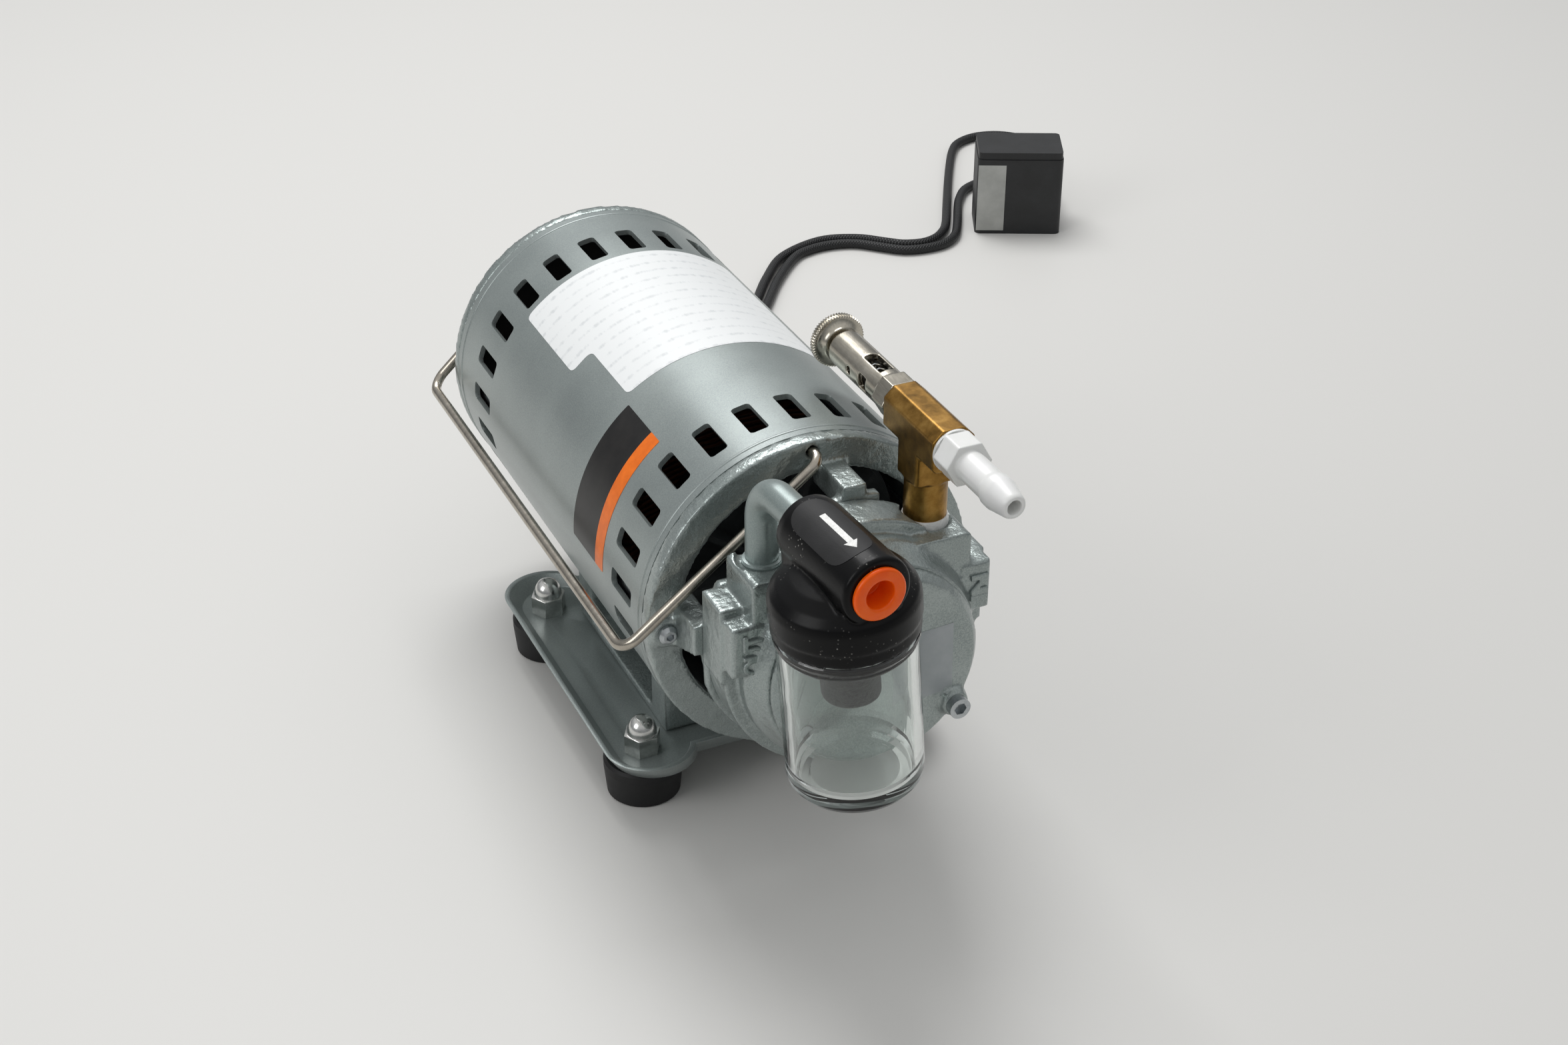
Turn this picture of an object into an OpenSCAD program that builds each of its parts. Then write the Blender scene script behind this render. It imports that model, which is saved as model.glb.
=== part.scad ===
// Oil free rotary vane vacuum pump: motor, carbon vane pump head, inlet regulating valve,
// exhaust filter with a glass jar, swinging carry handle and a footed tray.
// Z is up and the shaft runs along Y, with the pump at the -Y end.
// The origin is on the floor, in the middle of the four feet.

/* [Motor] */
// Outside diameter of the motor shell
shell_d = 120; // [112:1:130]
// Length of the rolled shell
shell_len = 197; // [185:1:215]
// Thickness of the shell's sheet
shell_wall = 2; // [1.5:0.1:3]
// Number of cooling slots in each of the two rings
slot_count = 24; // [16:1:26]
// Width of a cooling slot around the shell
slot_w = 7; // [5:0.5:9]
// Length of a cooling slot along the shell
slot_len = 18; // [12:0.5:20]
// From the front edge of the shell to the middle of the front slots
slot_front = 19; // [16:0.5:24]
// From the rear edge of the shell to the middle of the rear slots
slot_rear = 29.5; // [24:0.5:32]
// Diameter of the motor shaft
shaft_d = 12; // [10:0.5:14]
// Length of the stator core
stator_len = 76; // [60:1:80]
// Diameter of the long bolts that clamp the two end castings
bolt_d = 5; // [4:0.5:5.5]

/* [Front casting] */
// Thickness of the front casting's ring
ring_t = 6; // [5:0.5:8]
// Inside diameter of the front casting's ring
ring_hole_d = 98; // [92:1:100]
// Open gap between the ring and the back of the pump
gap_len = 18; // [14:0.5:24]
// Width of each heavy arm across the gap
arm_w = 22; // [16:0.5:28]
// Diameter of the bearing hub
hub_d = 36; // [33:0.5:42]

/* [Rear casting] */
// Thickness of the rear casting's ring
bell_t = 5; // [4:0.5:7]
// Diameter of the rear casting's dome
bell_dome_d = 70; // [60:1:74]
// How far the dome stands out behind the ring
bell_dome_h = 11; // [9:0.5:14]

/* [Pump] */
// Diameter of the pump's round flange
pump_flange_d = 93; // [91:0.5:98]
// Thickness of the pump's flange
pump_flange_t = 15; // [14:0.5:20]
// Diameter of the pump cylinder in front of the flange
pump_body_d = 84; // [82:0.5:88]
// Length of the pump cylinder in front of the flange
pump_body_len = 14; // [12:0.5:20]
// Diameter of the pump's front plate
plate_d = 74.5; // [73:0.5:80]
// Thickness of the pump's front plate
plate_t = 5; // [4:0.5:8]
// Diameter of the bore that the vanes sweep
bore_d = 56; // [50:0.5:56]
// Number of carbon vanes
vane_count = 4; // [3:1:6]
// Thickness of a carbon vane
vane_t = 4; // [3:0.2:5]
// Distance between the inlet and the outlet port
port_gap = 59; // [57:0.5:62]
// Height of the port block's top above the shaft
port_top = 35.5; // [34:0.5:38]
// Width of the port block
block_w = 79; // [76:0.5:84]

/* [Exhaust filter] */
// Outside diameter of the exhaust elbow
elbow_d = 11; // [9:0.2:12]
// Bend radius of the exhaust elbow
elbow_bend = 13; // [10:0.5:15]
// Height of the filter's flow line above the shaft
filter_h = 64.7; // [62:0.1:70]
// Clear space between the jar's bead and the pump's front plate
jar_room = 0.4; // [0.3:0.1:4]
// Turn of the filter away from the shaft's direction, in degrees
filter_yaw = 3.8; // [0:0.1:6]
// Lean of the jar away from upright, in degrees
filter_lean = 4.5; // [0:0.1:6]
// Diameter of the filter cap's skirt
cap_d = 47.6; // [46:0.2:50]
// Diameter of the filter cap's flow tube
cap_tube_d = 23; // [21:0.5:25]
// Diameter of the glass jar
jar_d = 44.4; // [43:0.2:46]
// From the flow line to the bottom of the jar
jar_depth = 84; // [76:0.5:92]
// Thickness of the jar's glass
glass_t = 3; // [2:0.1:3.6]
// Diameter of the felt element
felt_d = 19; // [14:0.5:22]
// Length of the felt element
felt_len = 42; // [30:0.5:44]
// Diameter of the hole in the outlet plug
plug_hole_d = 9.4; // [7:0.2:10]

/* [Regulating valve] */
// Outside diameter of the brass nipple
nipple_d = 13.2; // [12:0.1:14]
// Height of the brass tee's run above the shaft
tee_h = 71.4; // [70:0.2:76]
// Width of the brass tee
tee_w = 15; // [14:0.5:16]
// Length of the brass tee's run
tee_len = 34.8; // [32:0.2:40]
// Size across the flats of the hose barb's collar
barb_af = 14.2; // [12:0.2:17]
// Outside diameter of the hose barb's tube
barb_d = 10.6; // [8:0.2:11]
// Length of the hose barb's tube in front of its collar
barb_len = 28.5; // [24:0.5:40]
// Size across the flats of the valve's hexagon
valve_af = 14; // [13.6:0.1:16]
// Diameter of the valve's body
valve_d = 13.4; // [12.6:0.1:13.6]
// Length of the valve's body behind the hexagon
valve_len = 39; // [34:0.5:44]
// Diameter of the adjusting knob
knob_d = 19.6; // [17:0.2:22]
// Thickness of the adjusting knob
knob_t = 6.5; // [5:0.1:9]
// Lead of the adjusting screw for each turn
knob_lead = 1; // [0.8:0.1:1.25]

/* [Carry handle] */
// Diameter of the handle's wire
wire_d = 3.9; // [3.2:0.1:4.2]
// Clear space from the shell's side to the middle of the handle's wire
handle_gap = 11.5; // [9:0.5:16]
// Bend radius of the handle's corners
handle_bend = 7; // [6:0.5:10]

/* [Tray and feet] */
// Height of the shaft above the floor
axis_h = 92; // [88:1:100]
// Distance between the feet across the shaft
foot_gap_x = 100; // [92:1:106]
// Distance between the feet along the shaft
foot_gap_y = 100; // [90:1:106]
// From the front edge of the shell to the middle of the feet
foot_set = 80; // [78:0.5:84]
// Height of a rubber foot
foot_h = 15; // [12:0.5:18]
// Diameter of a rubber foot
foot_d = 29; // [24:0.5:32]
// Radius of the tray's corner lobes
lobe_r = 20; // [17:0.5:22]
// Height of the tray from its underside to its rim
tray_h = 7; // [6:0.2:8]
// Thickness of the tray's sheet
tray_wall = 2; // [1.5:0.1:2.4]
// Size across the flats of an acorn nut
nut_af = 11; // [10:0.5:13]
// Diameter of the feet's studs
stud_d = 6; // [5:0.5:6]

/* [Leads] */
// Diameter of the leads
cord_d = 5; // [4.6:0.1:5.2]
// Width of the capacitor box
box_w = 46.5; // [44:0.5:48]
// Depth of the capacitor box
box_depth = 30; // [26:0.5:32]
// Height of the capacitor box
box_h = 47; // [40:0.5:52]
// Turns in the coiled mains lead
coil_turns = 5.5; // [3.5:1:5.5]

/* [Hidden] */
$fn = 64;

// Running fit on the radius, and the gap between curved faces of different bodies
fit = 0.08;
gap = 0.3;
// A cut runs this far past a face
over = 1;

shell_r = shell_d / 2;
shell_in = shell_r - shell_wall;
lip = 0.3;
end_r = shell_r + lip;
slot_turn = 3.9;
slot_corner = 1.5;
spigot = 6;
spigot_wall = 6;
bolt_r = bolt_d / 2;
bolt_circle = shell_r - 6;
bolt_hole = bolt_r + 0.15;
bolt_boss_r = 5.5;
bolt_boss_h = 2;
bolt_head_r = 3.4;
bolt_head_h = 2.6;
bolt_nut_t = 3.2;
bolt_clocks = [-90, 90, 180];

// Stations along the shaft, from the front edge of the shell
pump_y0 = -ring_t - gap_len;
pump_y1 = pump_y0 - pump_flange_t;
pump_y2 = pump_y1 - pump_body_len;
pump_y3 = pump_y2 - plate_t;
bell_y = shell_len + bell_t;
stator_y = (shell_len - stator_len) / 2;
winding_len = 20;
winding_in = 38;
winding_out = bolt_circle - bolt_r - 1.5;

// Bearings
shaft_r = shaft_d / 2;
race_in = shaft_r + 2.5;
race_out = shaft_r + 5;
bearing_r = shaft_r + 8;
bearing_t = 9;
hub_back = -ring_t - 2;
front_bearing_y = hub_back - bearing_t;
rear_bearing_y = shell_len - spigot + 2;
disc_t = 4;
hub_r = hub_d / 2;
arm_t = 6;
arm_bite = 2;
lug_x = 2.5;
lug_w = 9;
lug_t = 8;
crest_w = 30;
rib_w = 6;
rib_h = 6;
rib_len = 26;

// Fans and rotor
rotor_r = 33.7;
stator_in = rotor_r + gap;
fan_r = winding_out - 0.5;
fan_t = 2;
fan_blades = 10;
fan_depth = 14;
fan_hub = race_out;

// Pump
flange_r = pump_flange_d / 2;
bore_r = bore_d / 2;
ecc = 2.4;
pump_rotor_r = bore_r - ecc - 0.1;
back_wall = 4;
rotor_play = 0.05;
vane_off = 6;
vane_deep = 15;
port_x = port_gap / 2;
port_set = 6.5;
port_y = pump_y0 - port_set;
port_thread = 8;
port_r = 4;
spot_r = nipple_d / 2 + 2.2;
block_front = pump_y1 - 6.5;
block_top = port_top + 1.5;
block_round = 2;
pump_body_r = pump_body_d / 2;
plate_r = plate_d / 2;
plate_bevel = 2.4;
ear_w = 7;
ear_low = -3;
ear_drop = 10;
pad_w = 12;
pad_mid = 41;
pad_out = 0.7;
pad_edge = 0.8;
plate_screw_circle = plate_r - 4;
standoff_clock = 124;
flush_clocks = [4, -116];
plate_screw_clocks = [standoff_clock, each flush_clocks];
screw_r = 2.5;
screw_boss_r = 5.5;
screw_boss_h = 3;
screw_head_r = 3.8;
screw_head_h = 3;
screw_grip = 12;

// Filter
elbow_r = elbow_d / 2;
elbow_in = elbow_r - 1.5;
cap_r = cap_d / 2;
cap_tube_r = cap_tube_d / 2;
cap_rear = 21;
elbow_end = 36;
cap_low = 24;
cap_roof = 8;
cap_wall = 3.1;
cap_in = cap_r - cap_wall;
gasket_t = 2;
jar_neck_r = cap_in - gap;
jar_top = cap_roof + gasket_t;
jar_r = jar_d / 2;
bead_top = cap_low + 0.6;
bead_t = 2.6;
bead_r = cap_r - 0.8;
jar_set = port_y - pump_y3 + bead_r + jar_room;
cap_front = jar_set + 21.2;
jar_floor = glass_t + 2;
jar_lead = 4;
post_r = 3.5;
felt_top = 12;
washer_t = 1.5;
washer_r = felt_d / 2 - 1.5;
post_nut_af = 9;
post_nut_t = 3.5;
flow_r = 4.5;
plug_r = plug_hole_d / 2 + 1.4;
plug_flange_r = plug_hole_d / 2 + 4.1;
plug_flange_t = 2;
plug_len = 8;
plug_end = 1.5;

// Valve
nipple_r = nipple_d / 2;
tee_front = port_y - tee_len / 2;
tee_rear = port_y + tee_len / 2;
tee_bore = 4.3;
tee_top = 3.6;
branch_low = 18;
stub_len = 9;
stub_r = tee_bore;
tape_t = 1;
tape_h = 2.4;
hub_neck_r = tee_w / 2 - 0.2;
barb_bore = 2.5;
collar_t = 9.5;
barb_tip = 3.7;
barb_bulge = barb_d / 2 + 0.6;
hex_t = 8;
valve_r = valve_d / 2;
valve_in = valve_r - 1.9;
seat_bore = 2.2;
poppet_y = tee_rear + hex_t - 1;
poppet_t = 2.5;
stem_len = 5;
stem_r = 1.5;
knob_y = tee_rear + hex_t + valve_len;
knob_out = 4;
seat_t = 2;
knob_r = knob_d / 2;
screw_back = 4;
seat_y = knob_y - screw_back - 8;
knob_screw_r = 3;
spring_wire = 0.9;
spring_r = valve_in - spring_wire / 2 - 0.35;
spring_turns = 7;

// Handle
wire_r = wire_d / 2;
hook_z = shell_r - 4;
hook_bend = 4;
leg_off = hook_bend + wire_r;
leg_front = -ring_t - leg_off;
leg_rear = bell_y + leg_off;
grip_x = shell_r + handle_gap;
grip_skew_x = 3;
grip_drop = 8;

// Tray and feet
tray_z = foot_h;
tray_top = tray_z + tray_wall;
tray_half = lobe_r + foot_gap_x / 2 - 4;
lobe_x = foot_gap_x / 2 - 4;
lobe_y = foot_gap_y / 2 + 1;
tray_waist = 9;
tray_flare = 4;
stud_r = stud_d / 2;
stud_low = 5;
stud_up = 7;
nut_r = nut_af / 2 / cos(30);
nut_h = 5.5;
saddle_w = 78;
saddle_rib = 14;
saddle_inset = 5;
saddle_base = 3;

// Gland, box and plug
gland_x = 36;
gland_z = 20;
gland_len = 12;
gland_r = cord_d / 2 + 3.5;
gland_flange_r = gland_r + 2;
gland_flange_t = 3;
box_corner = 3;
box_lid_h = 4;
box_turn = -25.5;
box_at = [318, 319];
plug_body_r = 12;
plug_body_len = 34;
plug_neck_len = 12;
blade_w = 6.3;
blade_t = 1.5;
blade_len = 17;
blade_gap = 12.7;

// Routes of the leads over the floor, in millimetres
cord_r = cord_d / 2;
cord_z = cord_r + 0.1;
ring_step = 14;
cord_sides = 10;
gland_exit = [gland_x, bell_y - foot_set + gland_len, axis_h + gland_z];
motor_route = [
    gland_exit, [36, 152, 111], [40, 170, 102], [50, 188, 80], [62, 202, 52],
    [78, 219, 24], [100, 240, 7], [124, 264, cord_z + 0.8], [149, 294, cord_z],
    [167, 319, cord_z], [186, 340, cord_z], [212, 350, cord_z], [232, 345, cord_z],
    [245, 334, cord_z], [252, 328, cord_z], [262, 325, cord_z], [271, 327, cord_z],
    [279, 333, cord_z], [286, 342, cord_z], [299, 365, cord_z], [312, 388, cord_z],
    [326, 412, cord_z], [338, 431, cord_z], [347, 441, cord_z], [360, 446, cord_z],
    [373, 444, cord_z], [383, 436, cord_z], [387, 424, cord_z], [384, 410, cord_z],
    [371, 384, cord_z + 4]
];
mains_route = [
    [351, 365, cord_z + 6], [348, 375, cord_z + 3], [340, 382, cord_z + 1],
    [329, 384, cord_z], [318, 379, cord_z], [310, 370, cord_z], [304, 361, cord_z],
    [291, 338, cord_z], [283, 326, cord_z], [273, 319, cord_z], [260, 318, cord_z],
    [249, 321, cord_z], [240, 329, cord_z], [229, 339, cord_z], [216, 343, cord_z],
    [203, 342, cord_z], [191, 336, cord_z], [172, 315, cord_z], [154, 290, cord_z],
    [134, 263, cord_z], [121, 241, cord_z], [115, 221, cord_z], [113, 202, cord_z],
    [110, 189, cord_z], [102, 181, cord_z], [91, 178, cord_z], [79, 182, cord_z],
    [72, 190, cord_z]
];

// The coiled lead: a flat spiral in and another out on top of it
coil_at = [35, 205];
coil_r = 34.5;
coil_pitch = 5.9;
coil_rise = 5.9;
coil_ring = 24;
coil_sides = 6;
coil_half = coil_turns / 2;

function unit(v) = v / norm(v);
function smooth(t) = let (c = min(1, max(0, t))) c * c * (3 - 2 * c);

// Radius, height and place of the coil's middle line after u turns
function coil_radius(u) = coil_r - coil_pitch * (u < coil_half ? u : coil_turns - u);
function coil_height(u) = cord_z + coil_rise * smooth((u - coil_half + 0.25) / 0.5);
function coil_point(u) = [
    coil_at[0] + coil_radius(u) * cos(360 * u),
    coil_at[1] + coil_radius(u) * sin(360 * u),
    coil_height(u)
];
coil_start = coil_point(0) - [0, cord_d, 0];
coil_count = round(coil_turns * coil_ring);
coil_path = concat(
    [coil_start],
    [for (i = [0:coil_count]) coil_point(i / coil_ring)],
    [coil_point(coil_turns) - [0, cord_d, 0]]
);
coil_end = coil_path[len(coil_path) - 1];
plug_at = [coil_end[0], coil_end[1] - 26, plug_body_r + 0.1];

// A curve through all points of a route, with straight first and last pieces
function curve_point(a, b, c, d, t) = 0.5 * (
    2 * b + (c - a) * t + (2 * a - 5 * b + 4 * c - d) * t * t
    + (3 * b - a - 3 * c + d) * t * t * t
);
function curve(p) = let (n = len(p) - 1) [
    for (i = [0:n - 1])
        let (
            a = i == 0 ? 2 * p[0] - p[1] : p[i - 1],
            d = i == n - 1 ? 2 * p[n] - p[n - 1] : p[i + 2],
            steps = max(1, round(norm(p[i + 1] - p[i]) / ring_step))
        )
        for (k = [0:steps - 1]) curve_point(a, p[i], p[i + 1], d, k / steps),
    p[n]
];

// Direction of a path at one of its points, set at both ends by first and last
function heading(p, i, first, last) =
    i == 0 ? first : i == len(p) - 1 ? last : unit(p[i + 1] - p[i - 1]);
function path_length(p) = [
    for (i = 0, s = 0; i < len(p); i = i + 1, s = s + (i < len(p) ? norm(p[i] - p[i - 1]) : 0)) s
][len(p) - 1];

// A round tube along a path, as one closed surface with flat ends
module sweep(p, r, sides, first, last) {
    n = len(p);
    rings = [
        for (i = [0:n - 1])
            let (t = heading(p, i, first, last), s = unit(cross(t, [0, 0, 1])), u = cross(s, t))
            for (k = [0:sides - 1])
                p[i] + r * (cos(360 * k / sides) * s + sin(360 * k / sides) * u)
    ];
    walls = [
        for (i = [0:n - 2], k = [0:sides - 1], h = [0, 1])
            let (
                a = i * sides + k,
                b = i * sides + (k + 1) % sides,
                c = a + sides,
                d = b + sides
            )
            h == 0 ? [a, b, d] : [a, d, c]
    ];
    ends = [
        for (k = [1:sides - 2], h = [0, 1])
            h == 0 ? [0, k + 1, k] : [(n - 1) * sides, (n - 1) * sides + k, (n - 1) * sides + k + 1]
    ];
    polyhedron(points = rings, faces = concat(walls, ends), convexity = 10);
}

// Least gap between passes of the coil that lie more than half a turn apart
coil_gap = min([
    for (i = [0:len(coil_path) - 1], j = [i + 12:len(coil_path) - 1])
        norm(coil_path[i] - coil_path[j])
]) - cord_d;
echo(least_gap_in_coil = coil_gap);
echo(coil_length = path_length(coil_path));

// Puts its children in the motor's frame: the shaft on Y and the shell's front edge at y = 0
module unit_frame() translate([0, -foot_set, axis_h]) children();

// A cylinder along Y between two stations
module along_y(y0, y1, r) translate([0, y0, 0]) rotate([-90, 0, 0]) cylinder(r = r, h = y1 - y0);

// Turns a radius and height profile about Y
module turned_y(y0) translate([0, y0, 0]) rotate([-90, 0, 0]) rotate_extrude() children();

// Puts its children at a clock angle on a circle round the shaft
module clock(a, r = 0) rotate([0, a, 0]) translate([0, 0, r]) children();

// Length that a bend takes from each of its straight sides
function bend_cut(a, b, c, bend) =
    bend * tan(acos(max(-1, min(1, unit(b - a) * unit(c - b)))) / 2);

// Points along a bend that joins two straight pieces at corner b
function bend_points(a, b, c, bend) =
    let (
        u = unit(b - a),
        v = unit(c - b),
        turn = acos(u * v),
        n = unit(v - (u * v) * u),
        o = b - u * bend_cut(a, b, c, bend) + n * bend,
        steps = ceil(turn / 15)
    )
    [for (k = [0:steps]) o + bend * (sin(turn * k / steps) * u - cos(turn * k / steps) * n)];

// A path through corner points, with its own bend radius at each inner corner
function bent_path(p, bends) = let (n = len(p) - 1) concat(
    [p[0]],
    [for (i = [1:n - 1]) each bend_points(p[i - 1], p[i], p[i + 1], bends[i])],
    [p[n]]
);

// A flat shape with rounded corners, made of squares and circles
module rounded(w, h, r) {
    square([w - 2 * r, h], center = true);
    square([w, h - 2 * r], center = true);
    for (x = [-1, 1], y = [-1, 1]) translate([x * (w / 2 - r), y * (h / 2 - r)]) circle(r = r, $fn = 20);
}

module hexagon(af) circle(r = af / 2 / cos(30), $fn = 6);

/* Motor */

module slot_ring(y)
    for (k = [0:slot_count - 1])
        translate([0, y, 0])
            clock(slot_turn + 360 * k / slot_count, shell_in - over)
                linear_extrude(shell_wall + 2 * over) rounded(slot_w, slot_len, slot_corner);

module motor_shell() color("#b4bbbb") unit_frame()
    difference() {
        along_y(0, shell_len, shell_r, $fn = 128);
        along_y(-over, shell_len + over, shell_in, $fn = 128);
        slot_ring(slot_front);
        slot_ring(shell_len - slot_rear);
    }

// The rear casting: a ring in the shell's end, air windows and a domed bearing seat
module rear_casting() color("#b4bbbb") unit_frame()
    difference() {
        union() {
            along_y(shell_len, bell_y, end_r, $fn = 128);
            along_y(shell_len - spigot, shell_len, shell_in);
            turned_y(bell_y) polygon([
                [0, 0], [bell_dome_d / 2, 0], [bell_dome_d / 2 - 3, bell_dome_h - 4],
                [bell_dome_d / 2 - 8, bell_dome_h - 1], [bell_dome_d / 2 - 14, bell_dome_h],
                [0, bell_dome_h]
            ]);
        }
        // hollow behind the ring, round the bearing seat
        turned_y(shell_len - spigot - over) polygon([
            [bearing_r + 5, 0], [shell_in - spigot_wall, 0],
            [shell_in - spigot_wall, spigot + over], [bearing_r + 5, spigot + over + bell_dome_h - 6]
        ]);
        along_y(shell_len - spigot - over, rear_bearing_y + bearing_t, bearing_r);
        along_y(shell_len, rear_bearing_y + bearing_t + 3, race_in);
        for (k = [0:5])
            rotate([0, 30 + 60 * k, 0])
                translate([0, shell_len - over, (bell_dome_d / 2 + shell_in - spigot_wall) / 2 + 1])
                    rotate([-90, 0, 0])
                        linear_extrude(bell_t + 2 * over)
                            rounded(19, shell_in - spigot_wall - bell_dome_d / 2 - 5, 4);
        translate([0, 0, hook_z]) along_y(shell_len - spigot - over, bell_y + over, wire_r + fit);
        for (a = bolt_clocks)
            clock(a, bolt_circle) along_y(shell_len - spigot - over, bell_y + over, bolt_hole);
        translate([gland_x, 0, gland_z])
            along_y(shell_len - over, bell_y + bell_dome_h, gland_r - 1.5);
        translate([gland_x, 0, gland_z]) along_y(bell_y, bell_y + bell_dome_h + over, gland_flange_r);
    }

// The front casting: ring, four arms, bearing hub and the disc that the pump is bolted to
module front_casting() color("#aeb5b5") unit_frame()
    difference() {
        union() {
            difference() {
                union() {
                    along_y(-ring_t, 0, end_r, $fn = 128);
                    along_y(0, spigot, shell_in);
                }
                along_y(-ring_t - over, over, ring_hole_d / 2);
                along_y(0, spigot + over, shell_in - spigot_wall);
            }
            for (a = [90, 180, 270])
                clock(a, ring_hole_d / 2 - arm_t)
                    translate([-arm_w / 2, pump_y0, 0])
                        cube([arm_w, gap_len + ring_t, arm_bite + arm_t]);
            translate([lug_x, pump_y0, ring_hole_d / 2 - lug_t])
                cube([lug_w, gap_len + ring_t, lug_t + arm_bite]);
            intersection() {
                along_y(pump_y0, pump_y0 + disc_t, flange_r + 2);
                translate([-shell_r, pump_y0 - over, -shell_r])
                    cube([2 * shell_r, disc_t + 2 * over, shell_r + port_top - ear_drop]);
            }
            translate([-crest_w / 2 + 1, pump_y0, hub_r]) cube([crest_w, disc_t, flange_r - hub_r]);
            along_y(pump_y0, hub_back, hub_r);
            for (a = [45:90:315])
                rotate([0, a, 0])
                    translate([-rib_w / 2, pump_y0, hub_r - rib_w / 2])
                        cube([rib_w, disc_t + rib_h, rib_len]);
            for (a = bolt_clocks) clock(a, bolt_circle) along_y(-ring_t - bolt_boss_h, 0, bolt_boss_r);
        }
        along_y(front_bearing_y, hub_back + over, bearing_r);
        along_y(pump_y0 - over, hub_back, race_in);
        translate([0, 0, hook_z]) along_y(-ring_t - over, spigot + over, wire_r + fit);
        for (a = bolt_clocks)
            clock(a, bolt_circle) along_y(-ring_t - bolt_boss_h - over, spigot + over, bolt_hole);
    }

// Round headed bolts through both castings, with nuts behind
module through_bolts() color("#c9cbcb") unit_frame()
    for (a = bolt_clocks)
        clock(a, bolt_circle) {
            along_y(-ring_t - bolt_boss_h, bell_y + bolt_nut_t + 0.3, bolt_r);
            difference() {
                turned_y(-ring_t - bolt_boss_h - bolt_head_h) polygon([
                    [0, 0], [bolt_head_r - 1.2, 0], [bolt_head_r, 1.2],
                    [bolt_head_r, bolt_head_h], [0, bolt_head_h]
                ]);
                along_y(-ring_t - bolt_boss_h - bolt_head_h - over, -ring_t - bolt_boss_h - 1, 1.5, $fn = 6);
            }
            translate([0, bell_y, 0]) rotate([-90, 0, 0]) linear_extrude(bolt_nut_t) hexagon(1.6 * bolt_d);
        }

module stator_core() color("#6f7375") unit_frame()
    difference() {
        along_y(stator_y, stator_y + stator_len, shell_in, $fn = 128);
        along_y(stator_y - over, stator_y + stator_len + over, stator_in, $fn = 96);
        for (k = [0:17])
            rotate([0, 20 * k, 0])
                translate([-2.5, stator_y - over, stator_in - 2]) cube([5, stator_len + 2 * over, 10]);
        for (a = bolt_clocks)
            clock(a, bolt_circle) along_y(stator_y - over, stator_y + stator_len + over, bolt_hole);
    }

// The bulge of copper wire that stands out of each end of the core
module winding(y)
    turned_y(y) polygon([
        [winding_in + 2, 0], [winding_out - 2, 0], [winding_out, 3], [winding_out, winding_len - 4],
        [winding_out - 4, winding_len], [winding_in + 4, winding_len],
        [winding_in, winding_len - 4], [winding_in, 3]
    ]);

module front_winding() color("#8a4b2a") unit_frame() winding(stator_y - winding_len);
module rear_winding() color("#8a4b2a") unit_frame() winding(stator_y + stator_len);

// Shielded bearings: an outer and an inner ring with a thin gap between the shields
module bearing_outer(y)
    turned_y(y) polygon([
        [race_in + gap, 0], [bearing_r, 0], [bearing_r, bearing_t], [race_in + gap, bearing_t],
        [race_in + gap, bearing_t - 1], [race_out, bearing_t - 1], [race_out, 1], [race_in + gap, 1]
    ]);

module bearing_inner(y)
    difference() {
        along_y(y, y + bearing_t, race_in);
        along_y(y - over, y + bearing_t + over, shaft_r);
    }

module front_bearing_outer() color("#9da1a3") unit_frame() bearing_outer(front_bearing_y);
module rear_bearing_outer() color("#9da1a3") unit_frame() bearing_outer(rear_bearing_y);
module front_bearing_inner() color("#c3c6c8") unit_frame() bearing_inner(front_bearing_y);
module rear_bearing_inner() color("#c3c6c8") unit_frame() bearing_inner(rear_bearing_y);

/* Turning parts */

shaft_front = pump_y2 + rotor_play + 6;

module motor_shaft() color("#c3c6c8") unit_frame()
    along_y(shaft_front, rear_bearing_y + bearing_t, shaft_r);

module rotor_core() color("#7b7f81") unit_frame()
    difference() {
        union() {
            along_y(stator_y, stator_y + stator_len, rotor_r, $fn = 96);
            along_y(stator_y - 5, stator_y + stator_len + 5, rotor_r - 3);
        }
        along_y(stator_y - 5 - over, stator_y + stator_len + 5 + over, shaft_r);
    }

// A radial fan: a disc with straight blades on its front
module fan(y, r)
    difference() {
        union() {
            along_y(y, y + fan_depth, fan_hub);
            along_y(y + fan_depth - fan_t, y + fan_depth, r);
            for (k = [0:fan_blades - 1])
                rotate([0, 360 * (k + 0.4) / fan_blades, 0])
                    translate([-fan_t / 2, y + fan_t, fan_hub - 1])
                        cube([fan_t, fan_depth - fan_t - 0.5, r - fan_hub - 1]);
        }
        along_y(y - over, y + fan_depth + over, shaft_r);
    }

module front_fan() color("#3d3f40") unit_frame() fan(slot_front - fan_depth / 2, fan_r - 3);
module rear_fan() color("#3d3f40") unit_frame()
    fan(shell_len - slot_rear - fan_depth / 2 + 6, fan_r - 8);

// The slotted pump rotor on the end of the shaft
module vane_slots(wide, deep, tip)
    for (k = [0:vane_count - 1])
        rotate([0, 360 * k / vane_count, 0])
            translate([vane_off - wide / 2, pump_y2, tip - deep]) children();

module pump_rotor() color("#8f9496") unit_frame()
    difference() {
        along_y(pump_y2 + rotor_play, pump_y0 - back_wall - rotor_play, pump_rotor_r);
        along_y(shaft_front, pump_y0, shaft_r);
        vane_slots(vane_t + 0.2, vane_deep, pump_rotor_r)
            translate([0, -over, 0]) cube([vane_t + 0.2, pump_y0 - pump_y2 + over, vane_deep + 2]);
    }

// Carbon vanes, drawn back in their slots
module carbon_vanes() color("#2b2b2b") unit_frame()
    intersection() {
        along_y(pump_y2 + 2 * rotor_play, pump_y0 - back_wall - 2 * rotor_play, pump_rotor_r);
        vane_slots(vane_t, vane_deep - 0.2, pump_rotor_r)
            cube([vane_t, pump_y0 - pump_y2, vane_deep + 2]);
    }

/* Pump */

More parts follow.
